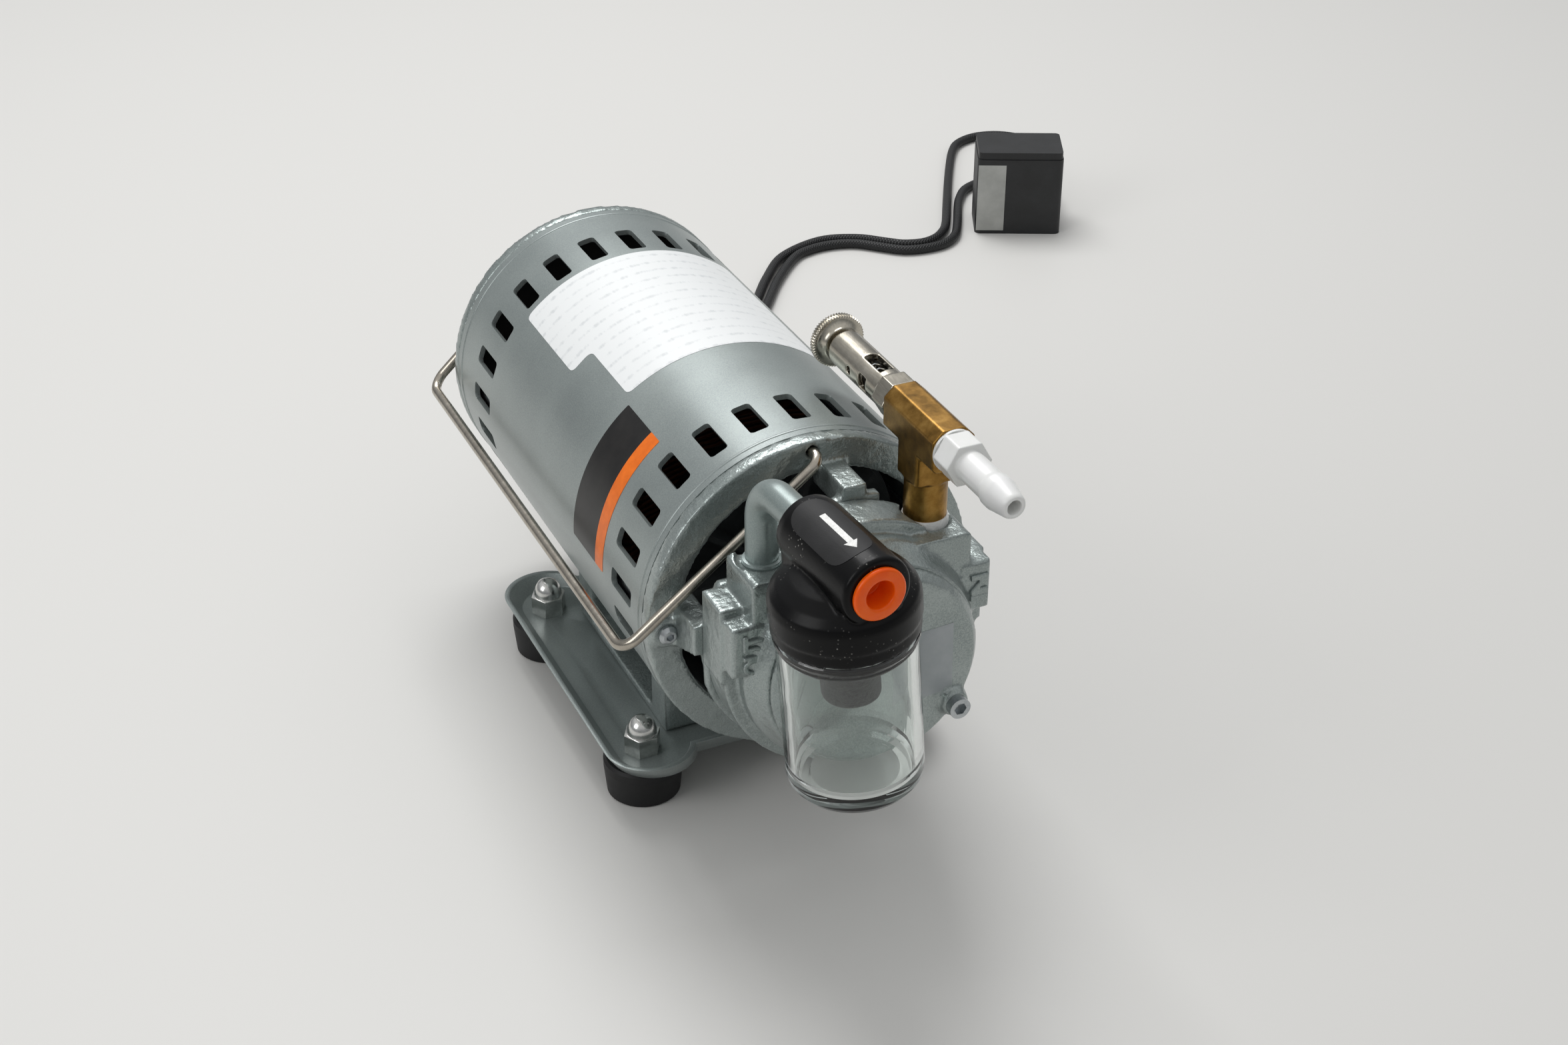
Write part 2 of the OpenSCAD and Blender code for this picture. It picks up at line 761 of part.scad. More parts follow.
// Back outline of the pump: a round flange with square ears at the top
module pump_outline() {
    circle(r = flange_r, $fn = 96);
    for (x = [-flange_r - 1.5, flange_r + 1.5 - ear_w])
        translate([x, ear_low]) square([ear_w, port_top - ear_low - ear_drop]);
}

// Outline of the port block across the top, with rounded shoulders
module block_outline() {
    for (x = [-1, 1])
        translate([x * (block_w / 2 - block_round), block_top - block_round]) circle(r = block_round);
    translate([-block_w / 2, 0]) square([block_w, block_top - block_round]);
    translate([-block_w / 2 + block_round, 0]) square([block_w - 2 * block_round, block_top]);
}

// A pad beside the port block that carries a raised port name
module side_pad(x, low, high)
    translate([x, 0, (low + high) / 2])
        rotate([90, 0, 0]) {
            translate([0, 0, -pump_y1 - over])
                linear_extrude(pump_y1 - block_front + pad_out + over - pad_edge)
                    square([pad_w, high - low], center = true);
            translate([0, 0, -pump_y1 - over])
                linear_extrude(pump_y1 - block_front + pad_out + over)
                    square([pad_w - 2 * pad_edge, high - low - 2 * pad_edge], center = true);
        }

// Pump body: flange, port block, name pads and a cylinder that steps in to the front plate
module pump_body() color("#aab1b1") unit_frame()
    difference() {
        union() {
            translate([0, pump_y0, 0]) rotate([90, 0, 0]) linear_extrude(pump_flange_t) pump_outline();
            translate([0, pump_y0, 0]) rotate([90, 0, 0])
                linear_extrude(pump_y0 - block_front) block_outline();
            turned_y(pump_y2, $fn = 96) polygon([
                [0, 0], [plate_r + 0.6, 0], [(plate_r + pump_body_r) / 2, 5], [pump_body_r, 9],
                [pump_body_r, pump_body_len + over], [0, pump_body_len + over]
            ]);
            side_pad(-pad_mid, 3, 22);
            side_pad(pad_mid, 6, 25);
        }
        translate([0, 0, -ecc]) along_y(pump_y2 - over, pump_y0 - back_wall, bore_r, $fn = 96);
        along_y(pump_y0 - back_wall - over, pump_y0 + over, shaft_r + fit);
        translate([-port_x, port_y, port_top - port_thread]) cylinder(r = elbow_r, h = port_thread + over);
        translate([port_x, port_y, port_top - port_thread]) cylinder(r = nipple_r, h = port_thread + over);
        for (x = [-port_x, port_x]) {
            translate([x, port_y, 0]) cylinder(r = port_r, h = port_top);
            translate([x, port_y, port_top]) cylinder(r = spot_r, h = flange_r);
        }
        for (a = plate_screw_clocks)
            clock(a, plate_screw_circle)
                along_y(pump_y2 - over, pump_y2 + screw_grip - plate_t, screw_r);
    }

// Front plate with a bevelled rim and one standoff; the screws behind the filter jar lie flush
module front_plate() color("#b2b9b9") unit_frame()
    difference() {
        union() {
            turned_y(pump_y3, $fn = 96) polygon([
                [0, 0], [plate_r - plate_bevel, 0], [plate_r, plate_bevel + 0.4], [plate_r, plate_t],
                [0, plate_t]
            ]);
            clock(standoff_clock, plate_screw_circle)
                turned_y(pump_y3 - screw_boss_h) polygon([
                    [0, 0], [screw_boss_r - 1, 0], [screw_boss_r, screw_boss_h],
                    [screw_boss_r, screw_boss_h + 2], [0, screw_boss_h + 2]
                ]);
        }
        for (a = plate_screw_clocks)
            clock(a, plate_screw_circle) along_y(pump_y3 - screw_boss_h - over, pump_y2 + over, screw_r);
        for (a = flush_clocks)
            clock(a, plate_screw_circle) along_y(pump_y3 - over, pump_y3 + screw_head_h, screw_head_r);
    }

// A socket head screw whose head starts at station y
module socket_screw(y, grip)
    difference() {
        union() {
            along_y(y + screw_head_h, y + screw_head_h + grip, screw_r);
            along_y(y, y + screw_head_h, screw_head_r);
        }
        translate([0, y - over, 0]) rotate([-90, 0, 0]) linear_extrude(screw_head_h) hexagon(4);
    }

module plate_screws() color("#c9cbcb") unit_frame() {
    clock(standoff_clock, plate_screw_circle)
        socket_screw(pump_y3 - screw_boss_h - screw_head_h, screw_boss_h + screw_grip);
    for (a = flush_clocks)
        clock(a, plate_screw_circle) socket_screw(pump_y3, screw_grip - screw_head_h);
}

/* Exhaust filter */

// Puts its children in the filter's frame: flow along -Y and the jar hanging down at -jar_set
module filter_frame()
    unit_frame() translate([-port_x, port_y, filter_h]) rotate([0, -filter_lean, filter_yaw]) children();

// The elbow's riser, bend and flow leg at one radius, with cuts running past both ends
module elbow_line(r, past) {
    translate([0, 0, port_top - port_thread - filter_h - past])
        cylinder(r = r, h = filter_h - port_top + port_thread - elbow_bend + past);
    translate([0, -elbow_bend, -elbow_bend]) rotate([90, 0, 90])
        rotate_extrude(angle = 90) translate([elbow_bend, 0]) circle(r = r);
    along_y(-elbow_end - past, -elbow_bend, r);
}

module exhaust_elbow() color("#b3b9b9")
    unit_frame() translate([-port_x, port_y, filter_h]) rotate([0, 0, filter_yaw])
        difference() {
            elbow_line(elbow_r, 0);
            elbow_line(elbow_in, over);
        }

// A profile of radius and depth turned about the jar's axis
module jar_turned(p) translate([0, -jar_set, 0]) mirror([0, 0, 1]) rotate_extrude($fn = 96) polygon(p);

// A profile of radius and distance turned about the flow line
module flow_turned(p) rotate([90, 0, 0]) rotate_extrude() polygon(p);

// Moulded cap: flow tube with a rounded rear, oval neck, dome and skirt
module filter_cap() color("#1b1b1c") filter_frame()
    difference() {
        union() {
            flow_turned([
                [0, cap_rear], [cap_tube_r - 4.5, cap_rear], [cap_tube_r - 2.6, cap_rear + 2],
                [cap_tube_r - 1, cap_rear + 6], [cap_tube_r, cap_rear + 12],
                [cap_tube_r, cap_front - 0.8], [cap_tube_r - 0.8, cap_front], [0, cap_front]
            ]);
            translate([0, 0, -cap_roof - 2]) linear_extrude(cap_roof + 2) {
                translate([0, -cap_rear - cap_tube_r - 2]) circle(r = cap_tube_r - 0.6);
                translate([-cap_tube_r + 0.6, -cap_front + 5])
                    square([2 * cap_tube_r - 1.2, cap_front - cap_rear - cap_tube_r - 7]);
            }
            jar_turned([
                [0, 2], [cap_tube_r, 3], [cap_tube_r + 5, 5], [cap_r - 3.2, 7.6], [cap_r - 0.8, 10.2],
                [cap_r, 12.6], [cap_r, cap_low - 4.8], [cap_r - 0.6, cap_low - 4.2],
                [cap_r - 0.4, cap_low - 3.6], [cap_r - 0.4, cap_low], [0, cap_low]
            ]);
        }
        jar_turned([[0, cap_roof], [cap_in, cap_roof], [cap_in, cap_low + over], [0, cap_low + over]]);
        flow_turned([[0, cap_rear - over], [elbow_r, cap_rear - over], [elbow_r, elbow_end], [0, elbow_end]]);
        flow_turned([[0, elbow_end - over], [flow_r, elbow_end - over], [flow_r, cap_front], [0, cap_front]]);
        flow_turned([
            [0, cap_front - plug_len], [plug_r + fit, cap_front - plug_len],
            [plug_r + fit, cap_front + over], [0, cap_front + over]
        ]);
        jar_turned([[0, 0], [post_r, 0], [post_r, cap_roof + over], [0, cap_roof + over]]);
    }

// The hollow post that holds the felt, with a washer and a nut under it
module filter_post() color("#8c8f90") filter_frame()
    difference() {
        union() {
            jar_turned([
                [0, 5], [post_r, 5], [post_r, cap_roof], [post_r + 3, cap_roof], [post_r + 3, felt_top],
                [post_r, felt_top], [post_r, felt_top + felt_len], [washer_r, felt_top + felt_len],
                [washer_r, felt_top + felt_len + washer_t], [0, felt_top + felt_len + washer_t]
            ]);
            translate([0, -jar_set, -felt_top - felt_len - washer_t - post_nut_t])
                linear_extrude(post_nut_t) hexagon(post_nut_af);
        }
        jar_turned([[0, 4], [2, 4], [2, felt_top + felt_len - 4], [0, felt_top + felt_len - 4]]);
    }

module felt_element() color("#4a4a4a") filter_frame()
    difference() {
        jar_turned([
            [0, felt_top], [felt_d / 2 - 1, felt_top], [felt_d / 2, felt_top + 1],
            [felt_d / 2, felt_top + felt_len - 1], [felt_d / 2 - 1, felt_top + felt_len],
            [0, felt_top + felt_len]
        ]);
        jar_turned([
            [0, felt_top - over], [post_r, felt_top - over],
            [post_r, felt_top + felt_len + over], [0, felt_top + felt_len + over]
        ]);
    }

module jar_gasket() color("#202020") filter_frame()
    jar_turned([
        [jar_neck_r - 4, cap_roof], [jar_neck_r, cap_roof], [jar_neck_r, jar_top],
        [jar_neck_r - 4, jar_top]
    ]);

// Thick bottomed glass jar with a neck for the cap and a bead under it
module glass_jar() color("#cfe0df", 0.4) filter_frame()
    jar_turned([
        [jar_neck_r - glass_t, jar_top], [jar_neck_r, jar_top], [jar_neck_r, bead_top],
        [bead_r - 0.6, bead_top], [bead_r, bead_top + 0.6], [bead_r, bead_top + bead_t - 0.8],
        [jar_r, bead_top + bead_t + 0.6],
        [jar_r, jar_depth - 6], [jar_r - 0.5, jar_depth - 3.6], [jar_r - 1.8, jar_depth - 1.8],
        [jar_r - 3.6, jar_depth - 0.5], [jar_r - 6, jar_depth], [0, jar_depth],
        [0, jar_depth - jar_floor], [jar_r - glass_t - 5, jar_depth - jar_floor],
        [jar_r - glass_t - 1.5, jar_depth - jar_floor - 1.5],
        [jar_r - glass_t, jar_depth - jar_floor - 5], [jar_r - glass_t, bead_top + bead_t + 3],
        [jar_neck_r - glass_t, bead_top + bead_t]
    ]);

// Push in transit plug: a cup with a flange
module outlet_plug() color("#f06a10") filter_frame()
    flow_turned([
        [0, cap_front - plug_len], [plug_r - 0.6, cap_front - plug_len],
        [plug_r, cap_front - plug_len + 0.8], [plug_r, cap_front], [plug_flange_r, cap_front],
        [plug_flange_r, cap_front + plug_flange_t - 0.6],
        [plug_flange_r - 0.6, cap_front + plug_flange_t],
        [plug_hole_d / 2 + 0.6, cap_front + plug_flange_t],
        [plug_hole_d / 2, cap_front + plug_flange_t - 0.6],
        [plug_hole_d / 2, cap_front - plug_len + plug_end], [0, cap_front - plug_len + plug_end]
    ]);

/* Inlet tee and regulating valve */

module valve_line() unit_frame() translate([port_x, 0, tee_h]) children();

// Cross section of the tee's run, with sloping top corners
module tee_section()
    polygon([
        [-tee_w / 2, -tee_w / 2 + 1.5], [-tee_w / 2, tee_w / 2 - tee_top],
        [-tee_w / 2 + tee_top, tee_w / 2], [tee_w / 2 - tee_top, tee_w / 2],
        [tee_w / 2, tee_w / 2 - tee_top], [tee_w / 2, -tee_w / 2 + 1.5],
        [tee_w / 2 - 1.5, -tee_w / 2], [-tee_w / 2 + 1.5, -tee_w / 2]
    ]);

module brass_tee() color("#b08a45") valve_line()
    difference() {
        union() {
            translate([0, tee_rear, 0]) rotate([90, 0, 0]) linear_extrude(tee_len) tee_section();
            translate([0, port_y, -branch_low]) linear_extrude(branch_low) rounded(tee_w, tee_w, 2);
            translate([0, port_y, port_top + tape_h - tee_h])
                cylinder(r = hub_neck_r, h = tee_h - port_top - tape_h - branch_low + over);
            translate([0, port_y, -tee_h + port_top - port_thread])
                cylinder(r = nipple_r, h = tee_h - port_top + port_thread);
        }
        along_y(tee_front - over, tee_rear + over, tee_bore);
        translate([0, port_y, -tee_h]) cylinder(r = tee_bore, h = tee_h);
    }

// White sealing tape squeezed out of the two screwed joints
module seal_tape() color("#f2f2f0") valve_line() {
    difference() {
        translate([0, port_y, port_top - tee_h]) cylinder(r = nipple_r + 1.3, h = tape_h);
        translate([0, port_y, port_top - tee_h - over]) cylinder(r = nipple_r, h = tape_h + 2 * over);
    }
    difference() {
        along_y(tee_front - tape_t, tee_front, barb_af / 2 + 0.5);
        along_y(tee_front - tape_t - over, tee_front + over, stub_r);
    }
}

// Hexagon collar, stub and tube with one barb
module hose_barb() color("#eeeeea") valve_line()
    difference() {
        union() {
            translate([0, tee_front - tape_t, 0]) rotate([90, 0, 0]) linear_extrude(collar_t)
                hexagon(barb_af);
            along_y(tee_front - tape_t, tee_front + stub_len, stub_r);
            translate([0, tee_front - tape_t - collar_t, 0]) rotate([90, 0, 0]) rotate_extrude()
                polygon([
                    [0, 0], [barb_d / 2, 0], [barb_d / 2, barb_len - 14],
                    [barb_bulge, barb_len - 12], [barb_bulge, barb_len - 9],
                    [barb_tip + 0.6, barb_len - 1], [barb_tip, barb_len], [0, barb_len]
                ]);
        }
        along_y(tee_front - tape_t - collar_t - barb_len - over, tee_front + stub_len + over, barb_bore);
    }

// Valve body: hexagon, air window, cross hole and a screwed rear end
module valve_body() color("#c6c4bc") valve_line()
    difference() {
        union() {
            along_y(tee_rear - stub_len, tee_rear, stub_r);
            translate([0, tee_rear + hex_t, 0]) rotate([90, 0, 0]) linear_extrude(hex_t) hexagon(valve_af);
            along_y(tee_rear + hex_t, knob_y - knob_out, valve_r);
        }
        along_y(tee_rear - stub_len - over, tee_rear + hex_t, seat_bore);
        along_y(poppet_y, knob_y - knob_out - screw_back, valve_in);
        along_y(poppet_y, knob_y, knob_screw_r + fit);
        translate([-2.6, poppet_y + 5, 0]) cube([5.2, 12, valve_r + over]);
        translate([-valve_r - over, poppet_y + 8.4, -2.6]) cube([valve_r + over, 5.2, 5.2]);
        translate([0, poppet_y + 21, 0]) rotate([0, 90, 0])
            cylinder(r = 1.4, h = 2 * valve_d, center = true, $fn = 24);
    }

module valve_poppet() color("#b08a45") valve_line() {
    along_y(poppet_y, poppet_y + poppet_t, valve_in - fit);
    along_y(poppet_y + poppet_t, poppet_y + poppet_t + stem_len, stem_r);
}

// The spring between the poppet and its seat
spring_y0 = poppet_y + poppet_t + spring_wire / 2 + 0.05;
spring_y1 = seat_y - spring_wire / 2 - 0.05;
spring_steps = spring_turns * 8;
spring_path = [
    for (i = [0:spring_steps])
        [
            spring_r * cos(45 * i), spring_y0 + (spring_y1 - spring_y0) * i / spring_steps,
            spring_r * sin(45 * i)
        ]
];
echo(least_gap_in_spring = (spring_y1 - spring_y0) / spring_turns - spring_wire);

module valve_spring() color("#d0d0cc") valve_line()
    rotate([-90, 0, 0])
        sweep(
            [for (p = spring_path) [p[0], -p[2], p[1]]],
            spring_wire / 2, 6, [0, -1, 0], [0, -1, 0]
        );

module spring_seat() color("#b9bbb9") valve_line()
    along_y(seat_y, seat_y + seat_t, valve_in - fit);

// Adjusting knob: dished head on a screw that bears on the spring's seat
module adjusting_knob() color("#c9c9c6") valve_line() {
    along_y(seat_y + seat_t, knob_y, knob_screw_r);
    turned_y(knob_y) polygon([
        [0, 0], [knob_screw_r, 0], [knob_r - 1.6, -1.6], [knob_r - 0.6, -1.4], [knob_r, -0.8],
        [knob_r, knob_t - 3], [knob_r - 0.8, knob_t - 2.2], [knob_r - 3, knob_t - 1.8],
        [knob_r - 4, knob_t - 2.4], [0, knob_t - 2.4]
    ]);
}

/* Carry handle */

handle_path = [
    [0, -1, hook_z], [0, leg_front, hook_z],
    [-grip_x, leg_front, 0], [-grip_x + grip_skew_x, leg_rear, -grip_drop],
    [0, leg_rear, hook_z], [0, shell_len + 1, hook_z]
];

handle_line = bent_path(
    handle_path, [0, hook_bend, handle_bend, handle_bend, hook_bend, 0]
);

// Where the two hooked ends are straight again
hook_front = handle_line[1][1];
hook_rear = handle_line[len(handle_line) - 2][1];

// The bent wire as one sweep, with its two straight ends as true round pins
module carry_handle() color("#c4bfb4") unit_frame() {
    sweep(
        [
            for (i = [0:len(handle_line) - 1])
                i == 0 ? [0, hook_front + over, hook_z]
                : i == len(handle_line) - 1 ? [0, hook_rear - over, hook_z]
                : handle_line[i]
        ],
        wire_r - 0.04, 12, [0, -1, 0], [0, -1, 0]
    );
    translate([0, 0, hook_z]) along_y(hook_front, -1, wire_r);
    translate([0, 0, hook_z]) along_y(shell_len + 1, hook_rear, wire_r);
}

/* Tray and feet */

// Plan of the tray: four corner lobes joined by straight sides set in a little
module tray_plan(inset) {
    for (x = [-1, 1], y = [-1, 1]) translate([x * lobe_x, y * lobe_y]) circle(r = lobe_r - inset, $fn = 48);
    square([2 * (lobe_x + lobe_r - inset), 2 * lobe_y], center = true);
    square([2 * lobe_x, 2 * (lobe_y + lobe_r - tray_waist - inset)], center = true);
}

tray_x = lobe_x + lobe_r;
tray_y = lobe_y + lobe_r;

// Pressed tray with a flared rim
module base_tray() color("#b0b6b5")
    difference() {
        translate([0, 0, tray_z])
            linear_extrude(
                tray_h, slices = 1,
                scale = [tray_x / (tray_x - tray_flare), tray_y / (tray_y - tray_flare)]
            ) tray_plan(tray_flare);
        translate([0, 0, tray_top])
            linear_extrude(
                tray_h - tray_wall + 0.01, slices = 1,
                scale = [(tray_x - tray_wall) / (tray_x - tray_flare - tray_wall),
                    (tray_y - tray_wall) / (tray_y - tray_flare - tray_wall)]
            ) tray_plan(tray_flare + tray_wall);
        for (x = [-1, 1], y = [-1, 1])
            translate([x * foot_gap_x / 2, y * foot_gap_y / 2, tray_z - over])
                cylinder(r = stud_r, h = tray_h + 2 * over);
    }

// Saddle of two ribs on a plate, hollowed to the shell
saddle_len = foot_gap_y - 2 * saddle_inset;
saddle_top = axis_h - sqrt(shell_r * shell_r - saddle_w * saddle_w / 4);

module motor_saddle() color("#a7adad")
    difference() {
        union() {
            translate([-saddle_w / 2, -saddle_len / 2, tray_top]) cube([saddle_w, saddle_len, saddle_base]);
            for (y = [-saddle_len / 2, saddle_len / 2 - saddle_rib])
                translate([-saddle_w / 2, y, tray_top]) cube([saddle_w, saddle_rib, saddle_top - tray_top]);
        }
        translate([0, 0, axis_h]) along_y(-foot_gap_y, foot_gap_y, shell_r, $fn = 128);
    }

module at_feet()
    for (x = [-1, 1], y = [-1, 1]) translate([x * foot_gap_x / 2, y * foot_gap_y / 2, 0]) children();

// Domed nuts on the tray
module acorn_nuts() color("#d5d7d8") at_feet()
    translate([0, 0, tray_top])
        difference() {
            union() {
                linear_extrude(nut_h) hexagon(nut_af);
                rotate_extrude() polygon([
                    [0, nut_h - over], [nut_af / 2 - 0.6, nut_h - over], [nut_af / 2 - 0.6, nut_h + 1],
                    [nut_af / 2 - 1.1, nut_h + 2.6], [nut_af / 2 - 2.2, nut_h + 3.9],
                    [nut_af / 2 - 3.6, nut_h + 4.6], [0, nut_h + 4.8]
                ]);
            }
            translate([0, 0, -over]) cylinder(r = stud_r, h = stud_up + over);
        }

module foot_studs() color("#b9bbbb") at_feet()
    translate([0, 0, stud_low]) cylinder(r = stud_r, h = tray_top + stud_up - stud_low);

// A tapered rubber foot, hollow underneath
module foot(x, y)
    translate([x * foot_gap_x / 2, y * foot_gap_y / 2, 0])
        rotate_extrude() polygon([
            [6, 0], [foot_d / 2 - 1.6, 0], [foot_d / 2 - 1, 0.6], [foot_d / 2, foot_h - 4],
            [foot_d / 2, foot_h - 1], [foot_d / 2 - 1, foot_h], [stud_r, foot_h],
            [stud_r, stud_low], [0, stud_low], [0, 3], [6, 3]
        ]);

module foot_front_left() color("#1d1d1d") foot(-1, -1);
module foot_front_right() color("#1d1d1d") foot(1, -1);
module foot_rear_left() color("#1d1d1d") foot(-1, 1);
module foot_rear_right() color("#1d1d1d") foot(1, 1);

/* Leads */

module cord_gland() color("#1a1a1a") unit_frame()
    translate([gland_x, 0, gland_z])
        difference() {
            union() {
                along_y(bell_y, bell_y + gland_flange_t, gland_flange_r - gap);
                along_y(shell_len - 2, bell_y + gland_len, gland_r - 1.5);
            }
            along_y(shell_len - 2 - over, bell_y + gland_len - 1, cord_r);
        }

module capacitor_frame() translate([box_at[0], box_at[1], 0]) rotate([0, 0, box_turn]) children();
box_back = [sin(-box_turn), cos(-box_turn), 0];

module capacitor_box() color("#161616") capacitor_frame()
    translate([0, box_depth / 2, 0]) linear_extrude(box_h - box_lid_h) rounded(box_w, box_depth, box_corner);

module box_lid() color("#1f1f1f") capacitor_frame()
    translate([0, box_depth / 2, box_h - box_lid_h])
        linear_extrude(box_lid_h) rounded(box_w - 1, box_depth - 1, box_corner - 0.5);

// Where the two leads meet the back of the box
function box_point(x, z) = [
    box_at[0] + x * cos(box_turn) + box_depth * box_back[0],
    box_at[1] + x * sin(box_turn) + box_depth * box_back[1],
    z
];
motor_in = box_point(20, cord_z + 12);
mains_in = box_point(12, cord_z + 10);
motor_path = curve(concat(motor_route, [motor_in + 16 * box_back, motor_in]));
mains_path = curve(concat(
    [mains_in, mains_in + 14 * box_back], mains_route, [coil_start]
));
echo(motor_lead_length = path_length(motor_path), rings = len(motor_path));
echo(mains_lead_length = path_length(mains_path), rings = len(mains_path));

module motor_lead() color("#181818") sweep(motor_path, cord_r, cord_sides, [0, 1, 0], -box_back);
module mains_lead() color("#181818") sweep(mains_path, cord_r, cord_sides, box_back, [0, 1, 0]);
module lead_coil() color("#181818") sweep(coil_path, cord_r, coil_sides, [0, 1, 0], [0, -1, 0]);

plug_path = curve([coil_end, coil_end - [0, 8, 0], plug_at + [0, 8, 0], plug_at]);
module plug_lead() color("#181818") sweep(plug_path, cord_r, cord_sides, [0, -1, 0], [0, -1, 0]);

// Moulded mains plug lying on the floor
module mains_plug() color("#181818") translate(plug_at)
    difference() {
        rotate([90, 0, 0]) rotate_extrude() polygon([
            [0, 0], [cord_r + 1.5, 0], [cord_r + 2.5, plug_neck_len], [plug_body_r - 1, plug_neck_len + 8],
            [plug_body_r, plug_neck_len + 12], [plug_body_r, plug_neck_len + plug_body_len - 2],
            [plug_body_r - 1.5, plug_neck_len + plug_body_len], [0, plug_neck_len + plug_body_len]
        ]);
        plug_blades(8);
    }

// Two flat blades, set into the plug's face by a given depth
module plug_blades(set)
    for (x = [-1, 1])
        translate([
            x * blade_gap / 2 - blade_t / 2, -plug_neck_len - plug_body_len - blade_len, -blade_w / 2
        ]) cube([blade_t, blade_len + set, blade_w]);

module plug_pins() color("#c9b27a") translate(plug_at) plug_blades(8);

motor_shell();
rear_casting();
front_casting();
through_bolts();
stator_core();
front_winding();
rear_winding();
front_bearing_outer();
rear_bearing_outer();
front_bearing_inner();
rear_bearing_inner();
motor_shaft();
rotor_core();
front_fan();
rear_fan();
pump_body();
front_plate();
plate_screws();
pump_rotor();
carbon_vanes();
exhaust_elbow();
filter_cap();
filter_post();
felt_element();
jar_gasket();
glass_jar();
outlet_plug();
brass_tee();
seal_tape();
hose_barb();
valve_body();
valve_poppet();
valve_spring();
spring_seat();
adjusting_knob();
carry_handle();
base_tray();
motor_saddle();
acorn_nuts();
foot_studs();
foot_front_left();
foot_front_right();
foot_rear_left();
foot_rear_right();
cord_gland();
motor_lead();
capacitor_box();
box_lid();
mains_lead();
lead_coil();
plug_lead();
mains_plug();
plug_pins();
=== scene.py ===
import bpy
import bmesh
import math
from mathutils import Matrix, Vector


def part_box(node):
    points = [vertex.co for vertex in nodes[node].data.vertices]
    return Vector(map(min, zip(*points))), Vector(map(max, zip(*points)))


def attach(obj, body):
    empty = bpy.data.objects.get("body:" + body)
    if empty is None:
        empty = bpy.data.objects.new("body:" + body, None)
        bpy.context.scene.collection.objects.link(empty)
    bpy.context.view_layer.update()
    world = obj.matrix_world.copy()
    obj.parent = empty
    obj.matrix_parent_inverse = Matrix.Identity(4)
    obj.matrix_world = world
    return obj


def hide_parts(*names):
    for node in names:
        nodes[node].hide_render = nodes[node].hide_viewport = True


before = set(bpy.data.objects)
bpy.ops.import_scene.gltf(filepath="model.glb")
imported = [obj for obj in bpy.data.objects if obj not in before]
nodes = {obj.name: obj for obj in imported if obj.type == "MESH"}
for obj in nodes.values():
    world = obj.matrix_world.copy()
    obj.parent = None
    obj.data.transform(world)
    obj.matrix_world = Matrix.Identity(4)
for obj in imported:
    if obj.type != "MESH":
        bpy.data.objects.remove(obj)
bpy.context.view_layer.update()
scene = bpy.context.scene

# Camera
# Placed where the photograph was taken from: above, in front and to the left,
# with a lens of about 53 mm on a 36 mm frame.
cam_data = bpy.data.cameras.new("photo_camera")
cam_data.sensor_width = 36.0
cam_data.lens = 52.9
cam_data.clip_end = 20.0
camera = bpy.data.objects.new("photo_camera", cam_data)
scene.collection.objects.link(camera)
camera_at = (-0.2865, -0.6810, 0.5253)
view_azimuth, view_elevation, view_roll = -24.9, 31.5, 0.2
camera.matrix_world = (
    Matrix.Translation(camera_at)
    @ Matrix.Rotation(math.radians(view_azimuth), 4, "Z")
    @ Matrix.Rotation(math.radians(90 - view_elevation), 4, "X")
    @ Matrix.Rotation(math.radians(view_roll), 4, "Z")
)
scene.camera = camera
scene.view_settings.view_transform = "Standard"


# Leads
# Black mains flex in a braided nylon sleeve: one runs from the motor to the
# capacitor's box, the other from the box to the coil and its moulded plug. A moulded
# boot eases each lead out of its housing.
def hex_linear(code):
    """A linear colour from an sRGB hex code."""
    channels = [int(code[i:i + 2], 16) / 255 for i in (1, 3, 5)]
    return tuple(
        c / 12.92 if c <= 0.04045 else ((c + 0.055) / 1.055) ** 2.4 for c in channels
    ) + (1.0,)


def add_node(tree, kind, inputs=None, stops=None, **settings):
    """Adds one node with its settings and links.

    An input is a value, or a pair of a node and its output. Stops are the places and
    hex colours of a colour ramp.
    """
    made = tree.nodes.new(kind)
    for name, value in settings.items():
        setattr(made, name, value)
    for key, value in (inputs or {}).items():
        if isinstance(value, tuple) and isinstance(value[0], bpy.types.Node):
            tree.links.new(value[0].outputs[value[1]], made.inputs[key])
        else:
            made.inputs[key].default_value = value
    if stops:
        band = made.color_ramp
        while len(band.elements) < len(stops):
            band.elements.new(0.5)
        for element, (position, code) in zip(band.elements, stops):
            element.position = position
            element.color = hex_linear(code)
    return made


def new_material(name, **shader_values):
    """A material with one Principled shader, and its tree and shader."""
    made = bpy.data.materials.new(name)
    made.use_nodes = True
    tree = made.node_tree
    shader = tree.nodes["Principled BSDF"]
    for key, value in shader_values.items():
        shader.inputs[key.replace("_", " ")].default_value = value
    return made, tree, shader


def noise(tree, place, size_mm, detail, roughness, twist=0.0):
    """The value of a noise whose clouds have a size in mm."""
    return add_node(tree, "ShaderNodeTexNoise", {
        "Vector": place, "Scale": 1000 / size_mm, "Detail": detail, "Roughness": roughness,
        "Distortion": twist,
    }), "Fac"


def combined(tree, a, b, operation="MULTIPLY"):
    """The product of two values, or another operation on them."""
    return add_node(tree, "ShaderNodeMath", {0: a, 1: b}, operation=operation), 0


def colour_by(tree, shader, value, stops):
    """Gives the shader the colours of a ramp, by a value."""
    tint = add_node(tree, "ShaderNodeValToRGB", {"Fac": value}, stops)
    tree.links.new(tint.outputs["Color"], shader.inputs["Base Color"])


def dull_by(tree, shader, value, low, high):
    """Sets the shader's roughness between two limits, by a value."""
    dull = add_node(tree, "ShaderNodeMapRange", {"Value": value, "To Min": low, "To Max": high})
    tree.links.new(dull.outputs["Result"], shader.inputs["Roughness"])


